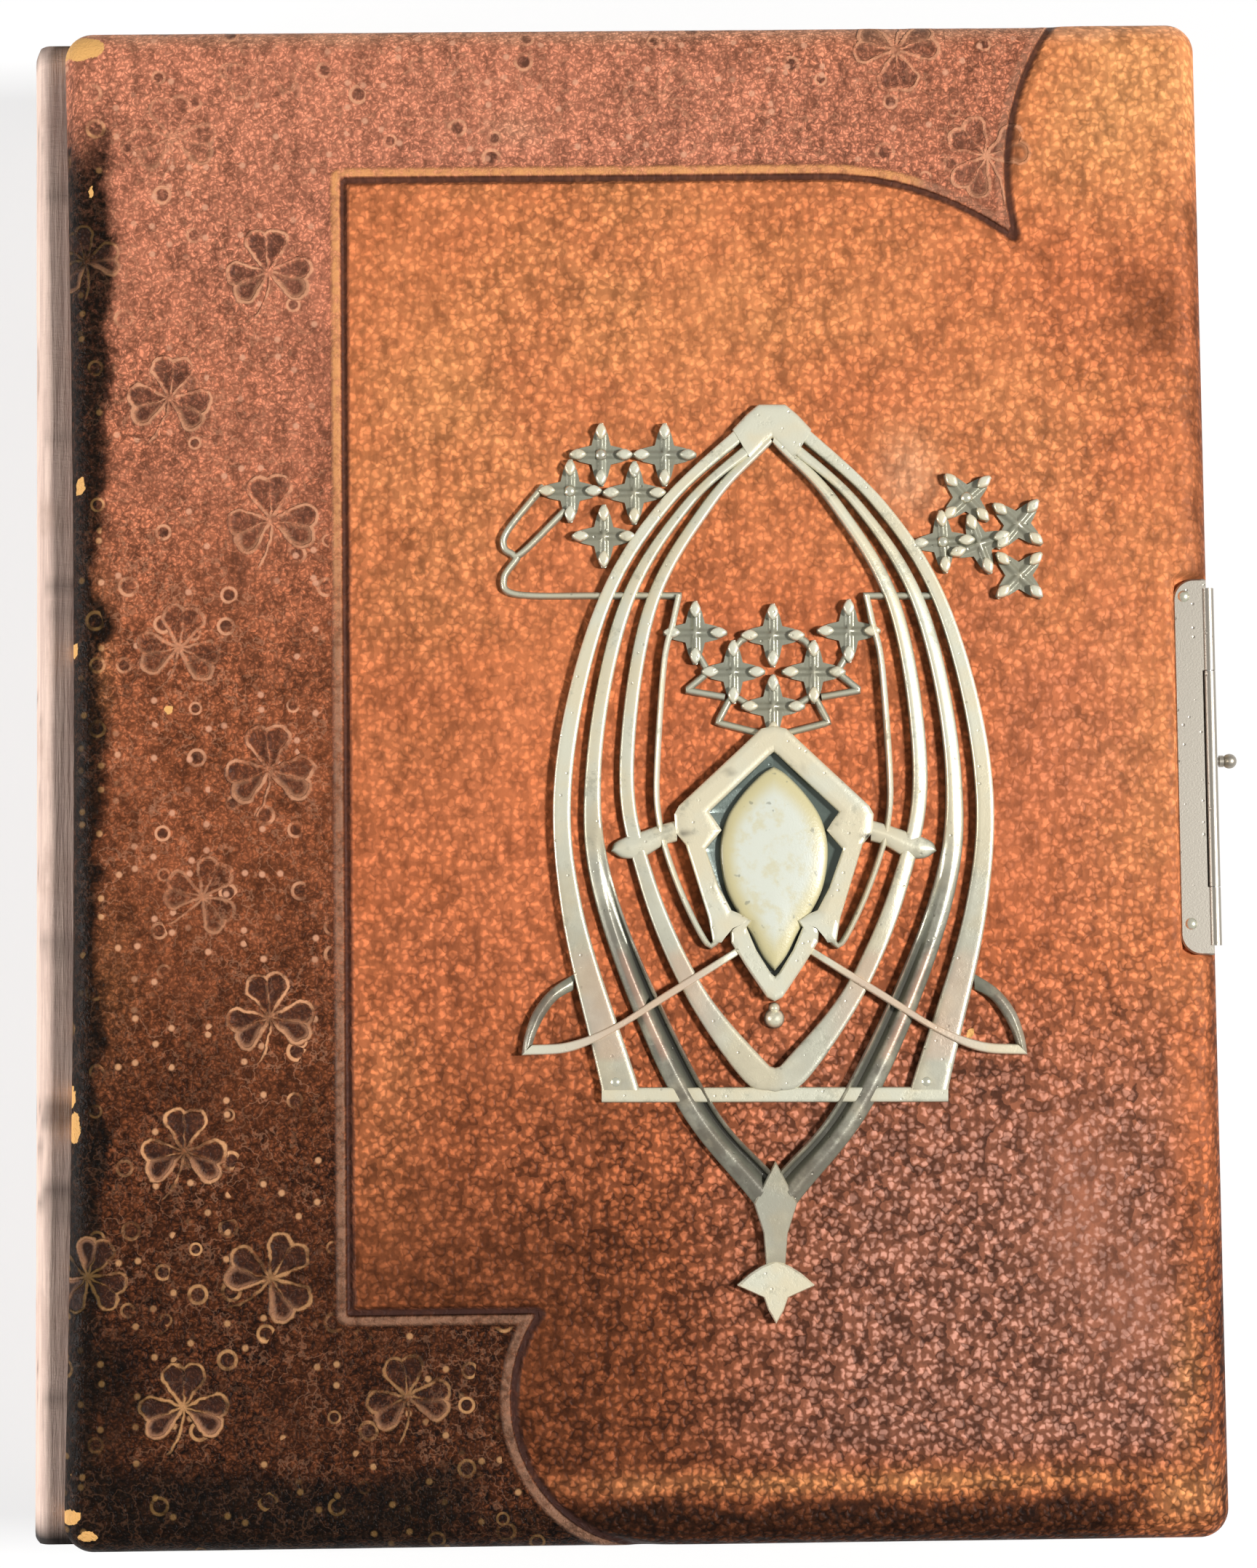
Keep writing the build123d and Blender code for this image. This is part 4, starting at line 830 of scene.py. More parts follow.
def cover_surface(settings):
    """The padded cover: a height for each place on its top, rolled down at the edges by a quarter
    circle, then its side, its turned-in underside and a flat middle."""
    reach_x, reach_y = HALF_WIDTH - EDGE_ROLL, HALF_HEIGHT - EDGE_ROLL
    xs = cover_lines(HALF_WIDTH, np.r_[np.linspace(-reach_x, -50, 88)[:-1], np.linspace(-50, reach_x, 122)])
    ys = cover_lines(HALF_HEIGHT, np.linspace(-reach_y, reach_y, 344))
    x, y = np.meshgrid(xs, ys)
    corner = COVER_CORNER
    u = np.clip((np.abs(x) - HALF_WIDTH + corner) / corner, 0, 1)
    v = np.clip((np.abs(y) - HALF_HEIGHT + corner) / corner, 0, 1)
    both = (u > 0) & (v > 0)
    x = np.where(both, np.sign(x) * (HALF_WIDTH - corner + corner * u * np.sqrt(1 - v**2 / 2)), x)
    y = np.where(both, np.sign(y) * (HALF_HEIGHT - corner + corner * v * np.sqrt(1 - u**2 / 2)), y)
    ax, ay = np.abs(x) - HALF_WIDTH + corner, np.abs(y) - HALF_HEIGHT + corner
    outside = np.hypot(np.maximum(ax, 0), np.maximum(ay, 0)) + np.minimum(np.maximum(ax, ay), 0) - corner
    rim = np.clip(-outside, 0, None)
    sunk = np.clip(EDGE_ROLL - rim, 0, EDGE_ROLL)
    drop = EDGE_ROLL - np.sqrt(np.clip(EDGE_ROLL**2 - sunk**2, 0, None))
    edge = border_distance(x, y)
    border = smooth(-0.9, 0.1, edge)
    thin = smooth(50, 62, x) * smooth(95, 104, y)
    bead = np.sqrt(np.clip(1 - ((edge - 1.05 + 0.5 * thin) / (1.15 - 0.5 * thin)) ** 2, 0, 1))
    level = -settings.border_drop * border + settings.bead_rise * bead * (1 - 0.3 * thin)
    level -= settings.groove_depth * np.exp(-((edge + 0.55) / 0.5) ** 2)
    level -= 0.4 * np.exp(-np.clip(-edge - 0.9, 0, None) / 2.0) * (1 - border)
    local = clover_places(x, y)
    side_a = np.abs(local[..., 0]) * SIDE_COS - local[..., 1] * SIDE_SIN
    side_b = np.abs(local[..., 0]) * SIDE_SIN + local[..., 1] * SIDE_COS
    leaf = np.minimum(leaf_distance(local[..., 1], local[..., 0]), leaf_distance(side_a, side_b))
    line = np.exp(-(leaf / 0.55) ** 2) - 0.6 * smooth(-0.4, -1.1, leaf)
    level += settings.clover_rise * line * local[..., 2] * smooth(2.0, 3.0, edge)
    sway, wrinkle = cloudy(x, y, 22.0, 71) - 0.5, cloudy(x, y, 3.2, 77) - 0.5
    level += 0.22 * sway + 0.22 * wrinkle * smooth(0.4, 1.4, edge)
    blister = np.exp(-((x + 21.8) / 5.0) ** 2 - ((y - 121.5) / 3.2) ** 2)
    level += 0.5 * blister
    flat = smooth(34, 46, np.abs(x - 25)) + smooth(64, 84, np.abs(y + 4))
    level = np.where(flat < 1, np.minimum(level, level * np.clip(flat, 0, 1) - 0.02), level)
    z = COVER_TOP + level - drop
    # the hinge plate's pocket and the barrel's recess at the fore-edge
    plate_low, plate_high = box_mm("clasp_plate")
    inside = (x > plate_low[0] - 0.35) & (y > plate_low[1] - 0.5) & (y < plate_high[1] + 0.5)
    z = np.where(inside, np.minimum(z, plate_high[2] - 0.82 - 1.1), z)
    barrel_low, barrel_high = box_mm("clasp_hinge_pin")
    under = inside & (x > barrel_low[0] - 1.1) & (np.abs(y - 0.3) < 34.2)
    z = np.where(under, np.minimum(z, 53.5), z)
    bow = settings.spine_bow * np.clip(1 - ((y - 5) / 138) ** 2, 0, 1) * smooth(-60, -107, x)
    top = np.stack([x + bow, y, z], -1)
    rows, columns = x.shape
    faces = grid_faces(rows, columns).tolist()
    number = np.arange(rows * columns).reshape(rows, columns)
    around = np.r_[number[0, :-1], number[:-1, -1], number[-1, :0:-1], number[:0:-1, 0]]
    points = [top.reshape(-1, 3)]
    rim_points = points[0][around]
    rings = [(0.0, COVER_UNDER + 3.0), (0.0, COVER_UNDER + 1.0), (0.12, COVER_UNDER + 0.4),
             (0.5, COVER_UNDER), (8.0, COVER_UNDER), (15.0, COVER_UNDER), (15.0, COVER_UNDER + 0.6),
             (60.0, COVER_UNDER + 0.6)]
    last, start = around, rows * columns
    count = len(around)
    for inset, height in rings:
        ring = rim_points.copy()
        shrink = np.array([(HALF_WIDTH - inset) / HALF_WIDTH, (HALF_HEIGHT - inset) / HALF_HEIGHT])
        ring[:, :2] *= shrink
        ring[:, 2] = height
        points.append(ring)
        new = start + np.arange(count)
        faces += np.stack([last, new, np.roll(new, -1), np.roll(last, -1)], -1).tolist()
        last, start = new, start + count
    faces.append(last.tolist())
    points = np.vstack(points)
    spare = len(points) - rows * columns
    fields = cover_fields(x + bow, y, edge, rim)
    fields["edge"] = edge
    fields["bead"] = (0.64 + 0.34 * smooth(-10, 90, y)) * (1 - 0.6 * thin)
    rough = 0.8 + 1.0 * smooth(-10, -85, y) * (0.35 + 0.65 * smooth(-40, 30, x)) * (0.4 + 1.2
                                                                                    * cloudy(x, y, 9.0, 59))
    rough += 0.5 * (cloudy(x, y, 18.0, 53) - 0.5)
    rough = np.minimum(rough, 1.45)
    rough *= 1 - 0.55 * spots(x, y, [(80, -82, 8, 16, 1.0), (89, -98, 8, 12, 1.0), (102, -62, 7, 22, 0.7)],
                              0.5, 61)
    fields["grain"] = rough * (1 - 0.3 * fields["ghost"])
    fields["bloom"] = 0.95 * smooth(-30, -75, y) * smooth(0, 45, x) * smooth(104, 92, x) * smooth(-131,
                                                                                                  -122, y)
    fields["bloom"] = np.maximum(fields["bloom"], spots(x, y, [(80, 8, 18, 34, 0.2)], 0.8, 67) * (edge < 0))
    attributes = {key: np.r_[value.ravel(), value.ravel()[around][np.arange(spare) % count]]
                  for key, value in fields.items()}
    attributes["black"][rows * columns:] = 0.75
    attributes["clover"] = np.vstack([local.reshape(-1, 3), np.full((spare, 3), (99.0, 99.0, 0.0))])
    return (points, faces), attributes


# The cast ornament, in shares of the lancet's half width and rise as the part's source gives them
ORNAMENT = {"x": 25.0, "turn": -0.6, "spread": 40.0, "rise": 70.0}
OUTER_BAND = (
    [(0.05, 0.981), (0.54, 0.714), (0.835, 0.43), (1.012, 0.02), (0.99, -0.36), (0.8, -0.843)],
    [(0.05, 0.93), (0.468, 0.714), (0.768, 0.43), (0.933, 0.0), (0.89, -0.357), (0.625, -0.843)],
)
MIDDLE_BAND = ([(0.02, 0.93), (0.43, 0.714), (0.73, 0.43), (0.875, 0.0), (0.825, -0.357), (0.478, -0.857),
                (0.098, -1.143)], [(0.02, 0.885), (0.37, 0.714), (0.662, 0.43), (0.8, 0.0),
                                   (0.712, -0.357), (0.31, -0.857), (0.0, -1.07)], )
INNER_BAND = ([(0.02, 0.91), (0.335, 0.714), (0.61, 0.43), (0.718, 0.0), (0.632, -0.286), (0.435, -0.571),
               (0.15, -0.815), (0.0, -0.85)],
              [(0.0, 0.881), (0.268, 0.714), (0.543, 0.43), (0.648, 0.0), (0.552, -0.286), (0.33, -0.571),
               (0.05, -0.765), (0.0, -0.785)], )
BEZEL = ([(0.0, 0.12), (0.06, 0.112), (0.1, 0.09), (0.44, -0.092), (0.462, -0.115), (0.455, -0.165),
          (0.41, -0.196), (0.305, -0.39), (0.285, -0.455), (0.245, -0.455), (0.205, -0.42), (0.2, -0.455),
          (0.13, -0.52), (0.035, -0.6), (0.0, -0.61)],
         [(0.0, 0.05), (0.02, 0.042), (0.05, 0.026), (0.302, -0.109), (0.27, -0.135), (0.244, -0.158),
          (0.318, -0.208), (0.255, -0.31), (0.2, -0.37), (0.165, -0.378), (0.105, -0.397), (0.13, -0.415),
          (0.085, -0.475), (0.02, -0.535), (0.0, -0.545)], )
ARM = (
    [(0.45, -0.13), (0.53, -0.143), (0.62, -0.161), (0.69, -0.175), (0.74, -0.19), (0.755, -0.21)],
    [(0.45, -0.186), (0.512, -0.197), (0.6, -0.226), (0.66, -0.232), (0.71, -0.229), (0.755, -0.213)],
)
BLADE = (
    [(0.14, -0.478), (0.5, -0.607), (0.75, -0.693), (0.95, -0.743), (1.17, -0.752)],
    [(0.14, -0.456), (0.5, -0.583), (0.75, -0.673), (0.95, -0.716), (1.12, -0.724)],
)
BLADE_HOOK = (
    [(1.17, -0.752), (1.155, -0.7), (1.115, -0.636), (1.035, -0.578), (0.925, -0.536)],
    [(1.12, -0.724), (1.1, -0.69), (1.06, -0.645), (1.005, -0.605), (0.93, -0.579)],
)
BASE_BAR = ([(0.0, -0.836), (0.66, -0.836), (0.8, -0.815)], [(0.0, -0.876), (0.66, -0.876), (0.8, -0.876)])
INNER_WIRE = [(0.438, 0.471), (0.465, 0.4), (0.508, 0.286), (0.542, 0.0), (0.535, -0.12), (0.495, -0.221),
              (0.41, -0.35), (0.31, -0.458), (0.262, -0.447)]
WIRES = [
    [(0.425, 0.471), (0.6, 0.471), (0.79, 0.471)],
    [(0.1, 0.364), (0.15, 0.35), (0.188, 0.325)],
    [(0.355, 0.32), (0.3, 0.266), (0.405, 0.217), (0.225, 0.199)],
    [(0.1, 0.174), (0.19, 0.205), (0.258, 0.131), (0.03, 0.098)],
]
ONE_SIDE_WIRES = [
    [(-0.425, 0.471), (-0.79, 0.471), (-1.19, 0.474), (-1.255, 0.515), (-1.19, 0.574)],
    [(-1.07, 0.766), (-1.235, 0.648), (-1.255, 0.604), (-1.22, 0.585), (-1.17, 0.586), (-0.97, 0.7)],
]
STEM = [(0.0, -1.03), (0.1, -1.14), (0.055, -1.22), (0.044, -1.3), (0.0, -1.3)]
FINIAL = [(0.0, -1.29), (0.065, -1.305), (0.12, -1.325), (0.18, -1.355), (0.055, -1.387), (0.035, -1.42),
          (0.0, -1.455)]
CAP = ([(0.0, 0.985), (0.063, 0.985), (0.12, 0.957), (0.185, 0.917)],
       [(0.0, 0.893), (0.03, 0.878), (0.065, 0.856), (0.1, 0.835)])
CABOCHON = [(0.0, 0.012), (0.06, -0.01), (0.155, -0.068), (0.225, -0.135), (0.25, -0.215), (0.225, -0.31),
            (0.16, -0.385), (0.108, -0.43), (0.055, -0.49), (0.0, -0.53)]
FLORETS = [
    (-0.8, 0.85, 0.0), (-0.503, 0.85, 0.0), (-0.945, 0.752, 0.0), (-0.645, 0.747, 0.0), (-0.788, 0.63, 0.0),
    (-0.362, 0.371, 0.0), (0.0, 0.364, 0.0), (0.355, 0.376, 0.0), (-0.185, 0.266, 0.0), (0.19, 0.266, 0.0),
    (0.0, 0.174, 0.0), (0.912, 0.735, 42.0), (0.8, 0.616, 4.0), (0.97, 0.61, 20.0), (1.15, 0.664, 50.0),
    (1.155, 0.526, 45.0),
]
STAR = [(1.0, -0.06), (1.0, 0.06), (0.64, 0.22), (0.3, 0.3), (0.22, 0.64)]
QUARTERS = (0, 90, 180, 270)
SINK = 0.35
ACROSS = np.array([0, 0.04, 0.1, 0.18, 0.28, 0.4, 0.5, 0.6, 0.72, 0.82, 0.9, 0.96, 1])
FLAT = np.array([0.72, 0.9, 0.97, 1, 1, 1, 1, 1, 1, 1, 0.97, 0.9, 0.72])
RIDGED = np.array([0.55, 0.66, 0.74, 0.82, 0.9, 0.97, 1, 0.97, 0.9, 0.82, 0.74, 0.66, 0.55])
SLOPED = np.array([0.5, 0.66, 0.74, 0.8, 0.86, 0.92, 0.96, 1, 1, 1, 0.95, 0.82, 0.55])
CHANNEL = np.array([0.45, 0.58, 0.68, 0.82, 0.98, 1.0, 0.9, 0.5, 0.22, 0.22, 0.8, 0.94, 0.7])


def lancet(shares):
    """Shares of the lancet turned to millimetres."""
    return np.array(shares, float) * (ORNAMENT["spread"], ORNAMENT["rise"])


def ribbon(edges, profile, height, count=70, curved=True, taper=None, later=None, change=(0.6, 0.8)):
    """A raised form between two edges: each station's section runs from one edge to the other, its
    heights a profile that may turn to a later one along the way, and taper by shares of the length."""
    line_of = through if curved else evenly
    outer, inner = (line_of(lancet(edge), count) for edge in edges)
    share = np.linspace(0, 1, count)[:, None]
    heights = np.broadcast_to(profile, (count, len(profile)))
    if later is not None:
        heights = heights + (later - profile) * smooth(*change, share)
    if taper is not None:
        heights = heights * np.interp(share[:, 0], *zip(*taper))[:, None]
    foot = np.full((count, 1), -SINK)
    up = np.hstack([foot, heights * height, foot])
    across = np.r_[0, ACROSS, 1]
    plan = outer[:, None] + (inner - outer)[:, None] * across[None, :, None]
    return loft(np.concatenate([plan, up[..., None]], -1))


def wire(shares, width, height, count=60, curved=True):
    """A half-round wire along a line: its section turned square to the line at each station."""
    line = (through if curved else evenly)(lancet(shares), count)
    run = np.gradient(line, axis=0)
    normal = np.stack([-run[:, 1], run[:, 0]], 1) / np.linalg.norm(run, axis=1)[:, None]
    turn = np.linspace(0, np.pi, 9)
    across = np.r_[-width / 2, -np.cos(turn) * width / 2, width / 2]
    up = np.r_[-SINK, height * (0.35 + 0.65 * np.sin(turn)), -SINK]
    plan = line[:, None] + normal[:, None] * across[None, :, None]
    return loft(np.concatenate([plan, np.broadcast_to(up, plan.shape[:2])[..., None]], -1))


def plate(shares, height, bevel=0.35, mirror_too=True, rings=3):
    """A flat form with a bevelled edge, drawn in towards its middle ring by ring."""
    half = lancet(shares)
    outline = np.vstack([half, (half * (-1, 1))[-2:0:-1]]) if mirror_too else half
    outline = evenly(np.vstack([outline, outline[:1]]), 97)[:-1]
    middle = outline.mean(0)
    steps = [(1.0, -SINK), (1.0, height - bevel)]
    span = np.linalg.norm(outline - middle, axis=1).mean()
    steps += [(1.0 - bevel / span, height)]
    steps += [(share, height) for share in np.linspace(0.7, 0.1, rings)]
    sections = [np.c_[middle + (outline - middle) * share, np.full(len(outline), up)] for share, up in steps]
    return loft(np.stack(sections))


def lozenge(along=4.35, length=3.3, width=2.15, floor=0.9, height=2.15):
    """A raised pad with a rounded diamond outline, drawn in to a nearly flat top."""
    turn = np.linspace(0, 2 * np.pi, 29)[:-1]
    c, s = np.cos(turn), np.sin(turn)
    reach = (np.abs(c) ** 1.45 + np.abs(s) ** 1.45) ** (-1 / 1.45)
    outline = np.c_[c * reach * length / 2, s * reach * width / 2]
    steps = [(1.0, -SINK), (1.0, floor), (0.93, height - 0.35), (0.8, height - 0.12), (0.55, height),
             (0.2, height)]
    return loft(np.stack([np.c_[along + outline[:, 0] * share, outline[:, 1] * share, np.full(len(turn), up)]
                          for share, up in steps]))


def floret_shape(radius=6.0, base=1.0):
    """A four-petalled floret: a star plate on a polar grid, hollowed between thin cross ridges, and a
    pad standing on each tip."""
    star = np.vstack([turned(np.array(STAR), degrees) for degrees in QUARTERS])
    fine = evenly(np.vstack([star, star[:1]]), 721)[:-1]
    angle = np.arctan2(fine[:, 1], fine[:, 0])
    order = np.argsort(angle)
    turn = np.linspace(-np.pi, np.pi, 97)[:-1]
    reach = np.interp(turn, angle[order], np.hypot(*fine[order].T), period=2 * np.pi)
    share = np.r_[0.03, np.linspace(0.08, 0.97, 13), 1.0, 1.0]
    x = np.cos(turn) * reach * share[:, None]
    y = np.sin(turn) * reach * share[:, None]
    across = np.minimum(np.abs(x), np.abs(y))
    up = base - 0.45 * smooth(0.02, 0.16, across) + 0.2 * smooth(0.3, 0.6, across)
    up = up + 0.3 * smooth(0.2, 0.0, np.hypot(x, y))
    up[-1] = -SINK
    plate_form = loft(np.stack([x * radius, y * radius, up], -1)[::-1])
    pads = [placed(lozenge(), 0, 0, turn) for turn in QUARTERS]
    return joined([plate_form, *pads])


def turned(plan, degrees):
    """A plan's points turned about its origin."""
    c, s = np.cos(radians(degrees)), np.sin(radians(degrees))
    return plan @ np.array([[c, s], [-s, c]])


def placed(shape, across, up, turn):
    """A shape turned and set at a place of the ornament."""
    points, faces = shape
    plan = turned(points[:, :2], turn) + lancet([(across, up)])
    return np.c_[plan, points[:, 2]], faces


def bezel_half(height=3.0, floor=0.8):
    """The recess's wall and floor: sections from the outer edge over the rim to the middle line."""
    share = np.linspace(0, 14, 14 * 12 + 1)
    outer, inner = (np.stack([np.interp(share, np.arange(15), line) for line in lancet(edge).T],
                             1) for edge in BEZEL)
    count = len(share)
    middle = inner * (0, 1)
    steps = [(0.0, -SINK), (0.0, height - 0.5), (0.05, height - 0.2), (0.12, height), (0.3, height),
             (0.5, height), (0.7, height), (0.88, height), (0.95, height - 0.2), (1.0, height - 0.5),
             (1.0, floor + 0.25)]
    rows = [np.c_[outer + (inner - outer) * share, np.full(count, up)] for share, up in steps]
    rows += [np.c_[inner + (middle - inner) * share, np.full(count, floor - 0.1 * share)]
             for share in (0.06, 0.4, 1.0)]
    rows += [np.c_[middle, np.full(count, -SINK)]]
    return loft(np.stack(rows, 1))


def dome(centre, radius, height, foot=0.0):
    """A round bead: rings on a quarter ellipse."""
    rise = np.radians(np.linspace(0, 86, 9))
    turn = np.linspace(0, 2 * np.pi, 33)[:-1]
    radii = np.r_[radius, np.cos(rise) * radius]
    ups = np.r_[-SINK, foot + np.sin(rise) * (height - foot)]
    rings = np.stack([np.stack([centre[0] + r * np.cos(turn), centre[1] + r * np.sin(turn),
                                np.full(turn.shape, up)], 1) for r, up in zip(radii, ups)])
    return loft(rings)


def set_on_cover(points, floor=0.0):
    """Points of the ornament's own frame set on the cover, turned as the casting is."""
    plan = turned(points[:, :2], ORNAMENT["turn"]) + (ORNAMENT["x"], 0)
    return np.c_[plan, points[:, 2] + COVER_TOP + floor]


def casting_shape():
    """The whole casting: its right half's forms mirrored, then what stands on one side only; each
    form carries how far it dulls towards the foot."""
    half = [
        (ribbon(OUTER_BAND, FLAT, 2.1, 110), 0.4),
        (ribbon(MIDDLE_BAND, SLOPED, 2.2, 140, later=CHANNEL, change=(0.5, 0.76)), 0.9),
        (ribbon(INNER_BAND, SLOPED, 2.1, 120, later=FLAT), 0.3),
        (ribbon(CAP, FLAT, 2.25, 24, curved=False), 0.0),
        (ribbon(ARM, RIDGED, 2.6, 40, taper=[(0, 1), (0.7, 0.9), (1, 0.5)]), 0.0),
        (ribbon(BLADE, FLAT, 2.7, 50, taper=[(0, 0.8), (0.1, 1), (1, 1)]), 0.0),
        (ribbon(BLADE_HOOK, RIDGED, 2.4, 40, taper=[(0, 1), (0.7, 0.9), (1, 0.4)]), 0.9),
        (ribbon(BASE_BAR, FLAT, 1.7, 30, curved=False), 0.0),
        (wire(INNER_WIRE, 1.2, 2.4, 80), 0.2),
        (bezel_half(), 0.0),
    ]
    half += [(wire(shares, 1.35, 1.4, 30, curved=False), 0.0) for shares in WIRES]
    parts = half + [(mirrored(shape), tone) for shape, tone in half]
    parts += [(wire(shares, 1.3, 1.5, 70), 0.0) for shares in ONE_SIDE_WIRES]
    parts += [(plate(STEM, 2.1), 0.5), (plate(FINIAL, 2.2), 0.0)]
    parts += [(dome(lancet([(0, -0.655)])[0], 1.9, 2.6), 0.0),
              (dome(lancet([(0, -0.628)])[0], 1.1, 2.3), 0.0)]
    flower = floret_shape()
    parts += [(placed(flower, *row), 0.0) for row in FLORETS]
    points, faces = joined([shape for shape, tone in parts])
    tone = np.concatenate([np.full(len(shape[0]), tone) for shape, tone in parts])
    return (set_on_cover(points), faces), points, tone * smooth(0.1, -0.55, points[:, 1] / ORNAMENT["rise"])


def cabochon_shape(floor=0.8, height=2.6):
    """The stone: its outline drawn in ring by ring, the height rising on a flattened dome."""
    half = through(lancet(CABOCHON), 49)
    outline = np.vstack([half, (half * (-1, 1))[-2:0:-1]])
    middle = np.array([0.0, half[:, 1].mean() + 2.0])
    share = np.r_[1.0, np.cos(np.radians(np.linspace(0, 87, 14)))]
    up = np.r_[floor, floor + 0.9 + (height - 0.9) * np.sin(np.radians(np.linspace(0, 87, 14))) ** 0.8]
    rings = np.stack([np.c_[middle + (outline - middle) * s, np.full(len(outline), h)]
                      for s, h in zip(share, up)])
    points, faces = loft(rings)
    rim = np.repeat(share, len(outline))
    return (set_on_cover(points), faces), rim


def leaves_shape():
    """Fourteen card leaves: each outline drawn at six heights, a little out of line, and the stub back."""
    low, high = BLOCK_LOW, BLOCK_HIGH
    pitch = (high[2] - low[2]) / LEAF_COUNT
    rng = np.random.default_rng(17)
    left = HALF_WIDTH * -1 + 4.5
    shapes = []
    for number in range(LEAF_COUNT):
        shift_x, shift_y = rng.uniform(-0.7, 0.0), rng.uniform(-0.35, 0.35)
        right, reach = high[0] + shift_x, high[1] - abs(shift_y) - rng.uniform(0, 0.25)
        turn = np.linspace(0, np.pi / 2, 7)
        corner = LEAF_CORNER
        top = np.stack([right - corner + corner * np.sin(turn), reach - corner + corner * np.cos(turn)], 1)
        side = evenly([(right, reach - corner), (right, -reach + corner)], 41)[1:-1]
        head = evenly([(left, reach), (right - corner, reach)], 31)[:-1]
        tail = np.stack([right - corner + corner * np.cos(turn), -reach + corner - corner * np.sin(turn)], 1)
        foot = evenly([(right - corner, -reach), (left, -reach)], 31)[1:]
        outline = np.vstack([head, top, side, tail, foot]) + (0, shift_y)
        outline[:, 0] += 0.18 * (cloudy(outline[:, 1], outline[:, 0] + 40 * number, 9.0, 61)
                                 - 0.5) * (outline[:, 0] > left + 5)
        floor = low[2] + number * pitch + (0.0 if number == 0 else 0.12)
        ceiling = low[2] + (number + 1) * pitch - (0.0 if number == LEAF_COUNT - 1 else 0.14)
        steps = [(0.35, floor), (0.08, floor + 0.18), (0.0, floor + 0.5), (0.0, ceiling - 0.5),
                 (0.08, ceiling - 0.18), (0.35, ceiling)]
        rings = []
        for inset, up in steps:
            scale = 1 - inset / np.array([abs(right), reach])
            rings.append(np.c_[outline * scale, np.full(len(outline), up)])
            rings[-1][:, 0] = np.maximum(rings[-1][:, 0], left)
        shapes.append(loft(np.stack(rings)))
    z = np.linspace(low[2] + 2.5, high[2] - 2.5, 21)
    middle_z, radius = (low[2] + high[2]) / 2, BLOCK_BACK_RADIUS
    x = SPINE_CENTRE - np.sqrt(radius**2 - (z - middle_z) ** 2)
    section_ring = np.vstack([np.c_[x, z], [(left + 0.5, z[-1]), (left + 0.5, z[0])]])
    ends = [-high[1] + 1.5, high[1] - 1.5]
    shapes.append(loft(np.stack([np.c_[section_ring[:, 0], np.full(len(section_ring), y), section_ring[:, 1]]
                                 for y in ends])))
    return joined(shapes)


def cloth_half(front=True):
    """Half of the spine's cloth: a section of the arc, the bend and the lap, carried along the spine."""
    middle, half = (SPINE_LOW[2] + SPINE_HIGH[2]) / 2, SPINE_HALF
    z = np.linspace(0, half - 1.8, 16)
    arc = np.stack([SPINE_CENTRE - np.sqrt(SPINE_RADIUS**2 - z**2), z], 1)
    lap = np.stack([np.linspace(-109.8, -104.0, 7), np.full(7, half)], 1)
    turn = through(np.array([arc[-2], arc[-1], (-111.75, half - 0.62), (-111.0, half - 0.1), lap[0],
                             lap[1]]), 21)[4:-4]
    line = np.vstack([arc[:-1], turn, lap[1:]])
    run = np.gradient(line, axis=0)
    normal = np.stack([-run[:, 1], run[:, 0]], 1) / np.linalg.norm(run, axis=1)[:, None]
    ring = np.vstack([line + normal * 0.38, (line - normal * 0.38)[::-1]])
    reach = SPINE_HIGH[1]
    along = np.r_[-reach, -reach + 0.3, np.linspace(-reach + 1.0, reach - 1.0, 110), reach - 0.3, reach]
    thick = np.r_[0.55, 0.9, np.ones(110), 0.9, 0.55]
    core = np.vstack([line, line[::-1]])
    rings = core[None] + (ring - core)[None] * thick[:, None, None]
    share = 1 - (along / reach) ** 2
    bulge = smooth(half - 1.0, half - 9.0, np.abs(rings[..., 1]))
    rings[..., 0] += 0.15 * share[:, None] * bulge
    rings[..., 0] += 0.2 * (cloudy(rings[..., 1], along[:, None] + 0 * rings[..., 1], 7.0, 83) - 0.5) * bulge
    up = rings[..., 1] if front else -rings[..., 1]
    points = np.stack([rings[..., 0], np.broadcast_to(along[:, None], up.shape), middle + up], -1)
    soil = np.maximum(smooth(-reach + 5, -reach + 1, points[..., 1]),
                      0.7 * smooth(reach - 3, reach, points[..., 1]))
    soil = np.clip(soil + 0.5 * smooth(0.62, 0.8, cloudy(points[..., 1], points[..., 2], 6.0, 93)), 0, 1)
    shape = loft(points)
    return (shape if front else (shape[0], [face[::-1] for face in shape[1]])), soil.ravel()


# Settings


def colour(name, value, about):
    return bpy.props.FloatVectorProperty(name=name, description=about, default=value, size=3, min=0.0,
                                         max=1.0, subtype="COLOR")


